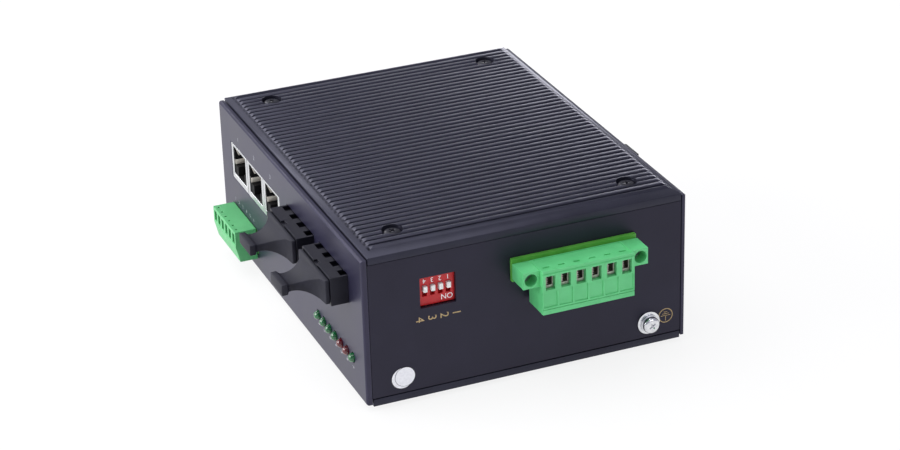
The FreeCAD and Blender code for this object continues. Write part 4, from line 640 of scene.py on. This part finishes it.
class RAILSWITCH_OT_caps(bpy.types.Operator):
    """Rubber dust caps, hollowed on all four sides down to a neck with an end bar"""

    bl_idname = "railswitch.caps"
    bl_label = "Dust caps"

    def execute(self, context):
        for number in (1, 2):
            self.cap(context.scene.railswitch_caps, number)
        return {"FINISHED"}

    def cap(self, s, number):
        """One cap: flange, hollowed body, neck with its bar, and the two pegs that enter the port."""
        flange, gap, thick_bar, neck_run = 1.3, 0.1, 2.0, 1.2
        neck_x, neck_z, bar_x, bar_z = 4.3, 1.2, 5.25, 1.75
        peg_x, peg_radius, bore_radius, sunk = 6.35, 3.3, 1.9, 0.4
        low, high = box_mm(f"dust_cap_{number}")
        middle = (low + high) / 2
        wide, tall = (high.x - low.x) / 2, (high.z - low.z) / 2
        base = box_mm(f"fibre_transceiver_{number}")[0].y - gap
        face, bar = base - flange, low.y + thick_bar
        cap = cuboid(f"dust_cap_soft_{number}", (low.x, face, low.z), (high.x, base, high.z))
        sections = []
        for step in range(1, s.steps + 1):
            share = step / s.steps
            y = face + (bar + neck_run - face) * step / s.steps
            left = max(s.waist - (face - y), 0)
            half_x = wide - math.sqrt(s.waist**2 - left**2) if left else neck_x
            half_z = tall - (tall - neck_z) * (1 - (1 - share) ** 2.1)
            sections.append((y, max(half_x, neck_x), max(half_z, neck_z)))
        sections += [(bar + 0.4, neck_x, neck_z + 0.1), (bar, bar_x, bar_z), (low.y, bar_x, bar_z)]
        at_y, at_x, at_z = face, wide, tall
        with editing(cap, "FACE", lambda c, n: n.y < -0.9):
            for y, half_x, half_z in sections:
                grow((0, y - at_y, 0), (half_x / at_x, 1, half_z / at_z), (middle.x, y, middle.z))
                at_y, at_x, at_z = y, half_x, half_z
        round_edges(cap, 0.45, 3, 38)
        pegs = []
        for side in (-1, 1):
            peg = disc("peg", peg_radius, high.y - base + sunk, 0, 32)
            carve(peg, disc("bore", bore_radius, 12, 1.2, 24))
            peg.data.transform(place(middle.x + peg_x * side, base - sunk, middle.z, turned(-90, "X")))
            pegs.append(peg)
        smooth(join(cap.name, cap, *pegs), 42)
        dress(cap, "cap_rubber", replaces=[f"dust_cap_{number}"])


class RAILSWITCH_OT_sockets(bpy.types.Operator):
    """Grounding fingers in the sides of the network sockets"""

    bl_idname = "railswitch.sockets"
    bl_label = "Network sockets"

    def execute(self, context):
        low, _ = box_mm("rj45_shields")
        wall_x, clear, sheet = 5.95, 0.02, 0.3
        foot, head = (32.9, 34.6), (36.2, 39.4)
        front = low.y + 0.42
        fingers = []
        for number in range(JACKS):
            for side in (-1, 1):
                x = low.x + JACK_FIRST + JACK_PITCH * number + wall_x * side
                inner, outer = sorted((x - clear * side, x - (clear + sheet) * side))
                lower = cuboid("finger", (inner, front, foot[0]), (outer, low.y + 5.2, foot[1]))
                with editing(lower, "FACE", lambda c, n: n.y > 0.9):
                    grow((-0.9 * side, 2.4, 0), (1, 1, 0.8), (x, low.y + 7.6, sum(foot) / 2))
                upper = cuboid("upper", (inner, front, head[0]), (outer, low.y + 1.3, head[1]))
                with editing(upper, "FACE", lambda c, n: n.z < -0.9):
                    bpy.ops.transform.translate(value=(-0.5 * side * MM, 1.0 * MM, 0))
                for finger in (lower, upper):
                    round_edges(finger, 0.08, 2)
                    fingers.append(smooth(finger))
        piece = join("socket_spring_fingers", *fingers)
        dress(piece, "tin_plate")
        return {"FINISHED"}


class RAILSWITCH_OT_power_plug(bpy.types.Operator):
    """Six-way power plug with framed faces, wire openings, grooved top and screw ears"""

    bl_idname = "railswitch.power_plug"
    bl_label = "Power plug"

    def execute(self, context):
        low, high = box_mm("power_plug")
        nose_z, ear_z, ear_reach = (34.6, 40.2), (35.4, 40.8), 5.5
        half = POWER_PITCH * POWER_WAYS / 2
        middle = (low.y + high.y) / 2
        left, right = middle - half, middle + half
        front, top = high.x, high.z
        back = box_mm("power_header")[1].x + 0.1
        ways = [place(0, left + POWER_PITCH * (n + 0.5), 0) for n in range(POWER_WAYS)]
        body = cuboid("power_plug_body", (back, left, low.z), (front, right, top))
        nose = cuboid("nose", (low.x, left, nose_z[0]), (back + 1, right, nose_z[1]))
        ears = [
            cuboid("ear", (back, near, ear_z[0]), (front - 2.0, far, ear_z[1]))
            for near, far in ((left - ear_reach, left + 1), (right - 1, right + ear_reach))
        ]
        carve(body, nose, *ears, operation="UNION")
        rows = {
            "window": ((front - 6, -1.6, top - 6.3), (front + 1, 1.6, top - 1.7)),
            "frame": ((front - 0.3, -2.2, top - 12.1), (front + 1, 2.2, top - 6.75)),
            "slit": ((front - 3.5, -1.1, top - 0.6), (front - 2.8, 1.1, top + 1)),
            "well": ((front - 7.0, -1.6, low.z - 1), (front - 3.4, 1.6, low.z + 2.4)),
        }
        for name, (a, b) in rows.items():
            cutter = cuboid(name, a, b)
            carve(body, stamp(name, cutter, ways))
        grooves = {
            "groove": ((back - 1, left - 9, top - 0.5), (back + 0.8, right + 9, top + 1)),
            "lip": ((front - 0.3, left - 1, top - 1.1), (front + 1, right + 1, top + 1)),
            "rim": ((front - 0.22, left - 1, low.z + 1.5), (front + 1, right + 1, low.z + 1.75)),
            "field": ((back + 1.2, left + 0.6, top - 0.22), (front - 0.9, right - 0.6, top + 1)),
        }
        carve(body, *(cuboid(name, a, b) for name, (a, b) in grooves.items()))
        bore_radius, bore_y = 2.05, 18.2
        for side in (-1, 1):
            bore = disc("bore", bore_radius, 12, 0, 32)
            bore.data.transform(place(back - 0.5, middle + bore_y * side, sum(ear_z) / 2, turned(90, "Y")))
            carve(body, bore)
        round_edges(body, 0.12, 2)
        dress(smooth(body, 30), "light_green_pbt", replaces=["power_plug"])
        self.jaws(ways)
        return {"FINISHED"}

    def jaws(self, ways):
        """Clamp jaws with a ribbed plate on the inner left side of every wire opening."""
        low, high = box_mm("power_plug_clamps")
        back, first_tooth, tooth_pitch, tooth_height = high.x - 3.2, low.z + 1.2, 0.75, 0.4
        jaw = cuboid("jaw", (back, -1.05, low.z + 0.9), (high.x - 0.4, -0.55, high.z - 0.5))
        teeth = []
        for number in range(4):
            foot = first_tooth + tooth_pitch * number
            tooth = cuboid("tooth", (back, -0.6, foot), (high.x - 0.3, -0.2, foot + tooth_height))
            with editing(tooth, "FACE", lambda c, n: n.y > 0.9):
                bpy.ops.transform.resize(value=(1, 1, 0.3))
            teeth.append(tooth)
        dress(stamp("power_clamp_jaws", join("jaw", jaw, *teeth), ways), "clamp_steel")


class RAILSWITCH_OT_lamps(bpy.types.Operator):
    """Round-nosed signal lamps in the front panel"""

    bl_idname = "railswitch.lamps"
    bl_label = "Signal lamps"

    def execute(self, context):
        low, high = box_mm("green_lamps")
        z = (low.z + high.z) / 2
        for name, members, material, slot, node in (
            ("green_lamp_lenses", (0, 1, 2, 3, 6), "green_epoxy", "lamp_green", "green_lamps"),
            ("red_lamp_lenses", (4, 5), "red_epoxy", "lamp_red", "red_lamps"),
        ):
            places = [
                place(low.x + LAMP_RADIUS + LAMP_PITCH * n, high.y, z, turned(90, "X")) for n in members
            ]
            lenses = stamp(name, self.lens(high.y - low.y), places)
            dress(lenses, material, replaces=[node])
        return {"FINISHED"}

    def lens(self, length):
        """A short barrel with a rounded nose, closed a little before the tip."""
        nose, steps = 1.45, 6
        barrel = length - 2.2
        lens = disc("lens", LAMP_RADIUS, barrel, 0, 32)
        with editing(lens, "FACE", lambda c, n: n.z > 0.9):
            width, level = LAMP_RADIUS, barrel
            for step in range(1, steps + 1):
                angle = math.radians(90 * step / (steps + 0.4))
                wide, height = LAMP_RADIUS * math.cos(angle), barrel + nose * math.sin(angle)
                grow((0, 0, height - level), (wide / width, wide / width, 1), (0, 0, height))
                width, level = wide, height
        return smooth(lens, 50)


# ---------------------------------------------------------------- printed marks and seal


ALONG, REARWARD, UP, DOWN = (1, 0, 0), (0, 1, 0), (0, 0, 1), (0, 0, -1)


def print_text(words, height, origin, right, up, ink):
    """Flat lettering whose lower left corner sits at origin, in millimetres."""
    bpy.ops.object.select_all(action="DESELECT")
    bpy.ops.object.text_add()
    text = bpy.context.object
    text.data.body = words
    text.data.size = height * 1.38 * MM
    text.data.extrude = ink / 2 * MM
    only(text)
    bpy.ops.object.convert(target="MESH")
    right, up = Vector(right).normalized(), Vector(up).normalized()
    turn = Matrix((right, up, right.cross(up))).transposed().to_4x4()
    text.data.transform(Matrix.Translation(Vector(origin) * MM) @ turn)
    return text


def number_row(count, height, spot, right, up, ink):
    """Numbers from 1 on; spot gives the lower left corner of each."""
    return [print_text(str(number + 1), height, spot(number), right, up, ink) for number in range(count)]


def bar(points, width, ink, normal_x):
    """A printed line on the end panel from point to point, (y, z) in millimetres."""
    parts = []
    for (y0, z0), (y1, z1) in zip(points, points[1:]):
        run = math.hypot(y1 - y0, z1 - z0)
        part = cuboid("line", (0, -width / 2, -width / 2), (ink, run + width / 2, width / 2))
        part.data.transform(place(normal_x, y0, z0, Matrix.Rotation(math.atan2(z1 - z0, y1 - y0), 4, "X")))
        parts.append(part)
    return parts


class RAILSWITCH_OT_marks(bpy.types.Operator):
    """Printed numbers, ON mark and contact symbols, and the two-layer seal"""

    bl_idname = "railswitch.marks"
    bl_label = "Printed marks and seal"

    def execute(self, context):
        s = context.scene.railswitch_marks
        self.switch_marks(s)
        self.panel_marks(s)
        self.seal()
        return {"FINISHED"}

    def switch_marks(self, s):
        """White numbers and the ON mark on the red block; they read upside down, as the unit lies."""
        low, high = box_mm("dip_block")
        middle = (low + high) / 2
        x, forward = high.x, (0, -1, 0)
        words = []
        for number, digit in enumerate(s.way_numbers):
            y = middle.y + LEVER_PITCH * (1.5 - number) + 0.5
            words.append(print_text(digit, 1.6, (x, y, high.z - 0.9), forward, DOWN, s.ink_height))
        origin = (x, middle.y + 5.3, low.z + 2.6)
        words.append(print_text(s.on_word, 1.8, origin, forward, DOWN, s.ink_height))
        dress(join("switch_numbers", *words), "white_ink")

    def panel_marks(self, s):
        """Gold marks of the end panel and grey numbers of the front panel."""
        x, ink = box_mm("terminal_end_panel")[1].x, s.ink_height
        low, high = box_mm("dip_block")
        first = (low.y + high.y) / 2 + 3.96 * 1.5 - 1.4
        gold = number_row(4, 2.8, lambda n: (x, first - 3.96 * n, 28.5), DOWN, REARWARD, ink)
        gold += self.contact_symbols(x, ink) + self.earth_symbol(x, ink)
        dress(join("gold_panel_marks", *gold), "gold_ink")
        face = box_mm("front_panel")[0].y
        jack = box_mm("rj45_shields")[0].x + JACK_FIRST - 0.4
        low, _ = box_mm("green_lamps")
        lamp, under = low.x + LAMP_RADIUS - 0.6, low.z - 1.2
        low, high = box_mm("signal_plug")
        way, over = low.x + 1.7, high.z + 1.6
        grey = number_row(JACKS, 1.5, lambda n: (jack + JACK_PITCH * n, face, 43.6), ALONG, UP, ink)
        grey += number_row(LAMPS, 1.4, lambda n: (lamp + LAMP_PITCH * n, face, under), DOWN, ALONG, ink)
        grey += number_row(SIGNAL_WAYS, 1.3, lambda n: (way + SIGNAL_PITCH * n, face, over), ALONG, UP, ink)
        dress(join("grey_panel_marks", *grey), "grey_ink")

    def contact_symbols(self, x, ink):
        """Minus and plus at the supply ways and an open contact between them, below the power plug."""
        low, _ = box_mm("power_plug")
        thin, ear = 0.22, 5.5
        first, z = low.y + ear + POWER_PITCH / 2, low.z - 1.8
        lines = []
        for number in (0, 1, 4, 5):
            y = first + POWER_PITCH * number
            lines += bar([(y - 0.7, z), (y + 0.7, z)], thin, ink, x)
            if number % 2:
                lines += bar([(y, z - 0.7), (y, z + 0.7)], thin, ink, x)
        y = first + POWER_PITCH * 2
        for path in (
            [(y - 1.6, z + 1.0), (y - 1.6, z - 0.8), (y + 0.4, z - 0.8), (y + 3.0, z + 0.6)],
            [(y + 3.2, z - 0.8), (y + 5.0, z - 0.8), (y + 5.0, z + 1.0)],
        ):
            lines += bar(path, thin, ink, x)
        return lines

    def earth_symbol(self, x, ink):
        """Ringed earth sign beside the earth screw."""
        low, high = box_mm("earth_flat_washer")
        y, z = high.y + 2.3, (low.z + high.z) / 2 + 1.0
        circle = ring("earth_circle", 2.5, 2.2, ink)
        circle.data.transform(place(x, y, z, turned(90, "Y")))
        lines = [circle]
        lines += bar([(y, z - 1.7), (y, z)], 0.24, ink, x)
        for row, half in enumerate((1.6, 1.05, 0.5)):
            level = z + 0.62 * row
            lines += bar([(y - half, level), (y + half, level)], 0.2, ink, x)
        return lines

    def seal(self):
        """Two paper discs, the upper one notched, each ringed with a dark rim of painted shade at its raised
        edge.
        """
        for name, node, border in (
            ("seal_lower_disc", "seal_disc_under", 0.16), ("seal_upper_disc", "seal_disc_over", 0.12)
        ):
            low, high = box_mm(node)
            middle = (low + high) / 2
            radius = (high.z - low.z) / 2
            paper = disc(name, radius - border, (high.x - low.x), 0, 64)
            # The dark rim ring is painted shade along the disc's raised edge.
            rim = ring("rim", radius, radius - border, (high.x - low.x) * 0.8)
            for part in (paper, rim):
                part.data.transform(place(low.x, middle.y, middle.z, turned(90, "Y")))
            if node == "seal_disc_over":
                corner = (high.x + 1, middle.y - 0.7, high.z + 1)
                carve(paper, cuboid("notch", (low.x - 1, middle.y - 1.3, high.z - 0.9), corner))
            round_edges(paper, 0.03, 1)
            dress(smooth(paper), "seal_paper", replaces=[node])
            rim.name = name + "_rim"
            dress(rim, "seal_edge_painted_shade")


# ---------------------------------------------------------------- carried-over nodes

FINISHES = {
    "powder_coat": ["front_panel", "rear_panel"],
    # The end panels take the darker copy of the coat, which is painted shade.
    "powder_coat_painted_shade": ["terminal_end_panel", "far_end_panel"],
    "bright_zinc": ["earth_nut", "earth_screw", "earth_flat_washer", "earth_lock_washer"],
    "anodised_aluminium": ["upper_side_cover", "lower_side_cover"],
    "black_oxide": ["cover_screws"],
    "zinc_plated_steel": [
        "front_tab_nuts", "board_screws", "power_flange_screws", "power_plug_screws", "signal_plug_screws",
        "din_clip_screws", "din_latch_spring", "lamp_leads", "dip_pins",
    ],
    "clamp_steel": ["power_plug_clamps", "signal_plug_clamps"],
    "turned_brass": ["lower_pillars", "upper_pillars", "board_standoffs", "io_board_standoffs"],
    "solder_mask": ["main_board", "io_board"],
    "mould_compound": ["switch_chip", "network_magnetics"],
    "plain_aluminium": ["chip_heatsink", "filter_capacitors"],
    "blue_pbt": ["alarm_relay"],
    # The socket inserts take the darker copy of the black plastic: painted shade of the recesses.
    "matt_black_pbt_painted_shade": ["rj45_inserts"],
    "black_pbt": [
        "fibre_transceiver_1", "fibre_transceiver_2", "transceiver_sockets", "board_link",
        "lamp_holder", "din_clip_plate", "din_latch",
    ],
    "nickel_plate": ["rj45_shields"],
    "gold_plate": ["rj45_contacts"],
    "zirconia": ["fibre_sleeves"],
    "cap_rubber": ["dust_cap_1", "dust_cap_2"],
    "green_pbt": ["signal_plug"],
    "light_green_pbt": ["power_plug"],
    "lime_pbt": ["power_header", "signal_header"],
    "red_abs": ["dip_block"],
    "white_abs": ["dip_lever_1", "dip_lever_2", "dip_lever_3", "dip_lever_4"],
    "green_epoxy": ["green_lamps"],
    "red_epoxy": ["red_lamps"],
    "seal_paper": ["seal_disc_under", "seal_disc_over"],
}

SOFT_EDGES = {
    "front_panel": 0.35, "rear_panel": 0.25, "terminal_end_panel": 0.3, "far_end_panel": 0.3,
    "power_plug": 0.16, "power_header": 0.12, "signal_plug": 0.12, "signal_header": 0.1, "rj45_shields": 0.08,
    "fibre_transceiver_1": 0.2, "fibre_transceiver_2": 0.2, "dip_block": 0.12, "din_clip_plate": 0.25,
    "din_latch": 0.2, "dip_lever_1": 0.15, "dip_lever_2": 0.15, "dip_lever_3": 0.15, "dip_lever_4": 0.15,
    "power_plug_clamps": 0.08,
}


class RAILSWITCH_OT_finishes(bpy.types.Operator):
    """Finishes of the carried-over parts, with softened edges where they show"""

    bl_idname = "railswitch.finishes"
    bl_label = "Finishes"

    def execute(self, context):
        for finish, members in FINISHES.items():
            for member in members:
                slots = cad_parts[member].data.materials
                slots.clear()
                slots.append(MATERIALS[finish])
        for member, width in SOFT_EDGES.items():
            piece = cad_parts[member]
            weld = piece.modifiers.new("weld", "WELD")
            weld.merge_threshold = 0.002 * MM
            flat = piece.modifiers.new("flat_faces", "DECIMATE")
            flat.decimate_type = "DISSOLVE"
            flat.angle_limit = math.radians(0.5)
            bevel = piece.modifiers.new("soft_edges", "BEVEL")
            bevel.width = width * MM
            bevel.segments = 2
            bevel.limit_method = "ANGLE"
            bevel.angle_limit = math.radians(35)
            bevel.use_clamp_overlap = True
        return {"FINISHED"}


# ---------------------------------------------------------------- stage


def looking(start, aim):
    """Matrix of a camera or light that stands at start and looks at aim."""
    return Matrix.Translation(start) @ (aim - start).to_track_quat("-Z", "Y").to_matrix().to_4x4()


def either_ray(tree, first, second):
    """1 for a light path of either kind, else 0."""
    rays = add_node(tree, "ShaderNodeLightPath").outputs
    larger = add_node(tree, "ShaderNodeMath", {"operation": "MAXIMUM"}, {0: rays[first], 1: rays[second]})
    return larger.outputs[0]


class RAILSWITCH_OT_stage(bpy.types.Operator):
    """Pale floor, soft lamps and the camera"""

    bl_idname = "railswitch.stage"
    bl_label = "Stage"

    def execute(self, context):
        s = context.scene.railswitch_stage
        context.scene.view_settings.view_transform = "Standard"
        self.floor()
        self.sky(context.scene, s)
        for name, where, height, size, share in (
            ("key_light", (-0.1, -0.3, 1.2), 0.03, (1.2, 1.2), 1.0),
            ("front_light", (-0.35, -1.25, 0.5), 0.03, (1.2, 0.8), 2.0),
            ("left_light", (-1.0, -0.25, 0.62), 0.05, (0.5, 0.4), 0.3),
            ("right_light", (1.3, 0.4, 0.7), 0.03, (0.9, 0.7), 0.3),
            ("back_light", (-1.05, 0.69, 0.12), 0.05, (0.9, 0.22), 0.42),
        ):
            self.lamp(name, Vector(where), Vector((0, 0, height)), size, s.key_power * share)
        camera_data = bpy.data.cameras.new("camera")
        camera_data.lens = s.lens
        camera_data.sensor_width = 36
        camera_data.clip_start, camera_data.clip_end = 0.01, 20
        camera = bpy.data.objects.new("camera", camera_data)
        context.collection.objects.link(camera)
        stand = looking(Vector(s.camera_place), Vector(s.camera_aim))
        camera.matrix_world = stand @ Matrix.Rotation(s.roll, 4, "Z")
        context.scene.camera = camera
        return {"FINISHED"}

    def floor(self):
        """Pale floor that hides nothing when looked at from below."""
        bpy.ops.object.select_all(action="DESELECT")
        bpy.ops.mesh.primitive_plane_add(size=6)
        floor = settle(bpy.context.object)
        floor.name = "floor"
        # Painted board, matt white; it glows to the eye, so that it stays as pale as the room.
        material, tree, output, _ = start_material("matt_white_board")
        seen = either_ray(tree, "Is Camera Ray", "Is Glossy Ray")
        paint = {"Base Color": linear("#F4F4F4"), "Roughness": 0.9}
        board = add_node(tree, "ShaderNodeBsdfPrincipled", paint)
        glow = add_node(tree, "ShaderNodeEmission", {"Color": (1, 1, 1, 1), "Strength": 1.0})
        share = add_node(tree, "ShaderNodeMath", {"operation": "MULTIPLY", 1: 0.85}, {0: seen})
        mix = add_node(tree, "ShaderNodeMixShader", {}, {
            0: share.outputs[0], 1: board.outputs["BSDF"], 2: glow.outputs["Emission"],
        })
        side = add_node(tree, "ShaderNodeNewGeometry")
        clear = add_node(tree, "ShaderNodeBsdfTransparent")
        whole = add_node(tree, "ShaderNodeMixShader", {}, {
            0: side.outputs["Backfacing"], 1: mix.outputs["Shader"], 2: clear.outputs["BSDF"],
        })
        tree.links.new(whole.outputs["Shader"], output.inputs["Surface"])
        floor.data.materials.append(material)

    def sky(self, scene, s):
        """Even surrounding light; whoever looks at it straight or through a lens sees plain white."""
        world = bpy.data.worlds.new("pale_room")
        scene.world = world
        world.use_nodes = True
        tree = world.node_tree
        tree.nodes.clear()
        seen = either_ray(tree, "Is Camera Ray", "Is Transmission Ray")
        room = add_node(tree, "ShaderNodeBackground", {"Color": linear("#E6E7F6"), "Strength": s.sky})
        white = add_node(tree, "ShaderNodeBackground", {"Color": (1, 1, 1, 1), "Strength": 1.0})
        mix = add_node(tree, "ShaderNodeMixShader", {}, {
            0: seen, 1: room.outputs["Background"], 2: white.outputs["Background"],
        })
        output = add_node(tree, "ShaderNodeOutputWorld")
        tree.links.new(mix.outputs["Shader"], output.inputs["Surface"])

    def lamp(self, name, where, aim, size, power):
        """Rectangular soft light; size in metres, power in watts."""
        data = bpy.data.lights.new(name, "AREA")
        data.shape = "RECTANGLE"
        data.size, data.size_y = size
        data.energy = power
        lamp = bpy.data.objects.new(name, data)
        bpy.context.collection.objects.link(lamp)
        lamp.matrix_world = looking(where, aim)


class RAILSWITCH_PT_panel(bpy.types.Panel):
    """Lists the switch's pieces and their sizes in the 3D view's sidebar"""

    bl_idname = "RAILSWITCH_PT_panel"
    bl_label = "Rail Switch"
    bl_space_type = "VIEW_3D"
    bl_region_type = "UI"
    bl_category = "Rail Switch"

    def draw(self, context):
        for operator in OPERATORS:
            self.layout.operator(operator.bl_idname)
        for group in SETTINGS:
            settings = getattr(context.scene, group)
            box = self.layout.box()
            for name in settings.bl_rna.properties.keys():
                if name not in ("rna_type", "name"):
                    box.prop(settings, name)


OPERATORS = [
    RAILSWITCH_OT_covers, RAILSWITCH_OT_screws, RAILSWITCH_OT_latch_spring, RAILSWITCH_OT_caps,
    RAILSWITCH_OT_sockets, RAILSWITCH_OT_power_plug, RAILSWITCH_OT_lamps, RAILSWITCH_OT_marks,
    RAILSWITCH_OT_finishes, RAILSWITCH_OT_stage,
]
SETTINGS = {
    "railswitch_housing": RAILSWITCH_PG_housing,
    "railswitch_caps": RAILSWITCH_PG_caps,
    "railswitch_marks": RAILSWITCH_PG_marks,
    "railswitch_stage": RAILSWITCH_PG_stage,
}


def register():
    for group in (*SETTINGS.values(), *OPERATORS, RAILSWITCH_PT_panel):
        bpy.utils.register_class(group)
    for name, group in SETTINGS.items():
        setattr(bpy.types.Scene, name, PointerProperty(type=group))


def unregister():
    for name in SETTINGS:
        delattr(bpy.types.Scene, name)
    for group in reversed((*SETTINGS.values(), *OPERATORS, RAILSWITCH_PT_panel)):
        bpy.utils.unregister_class(group)


def main():
    register()
    make_materials()
    for operator in OPERATORS:
        family, name = operator.bl_idname.split(".")
        getattr(getattr(bpy.ops, family), name)()


if __name__ == "__main__":
    main()
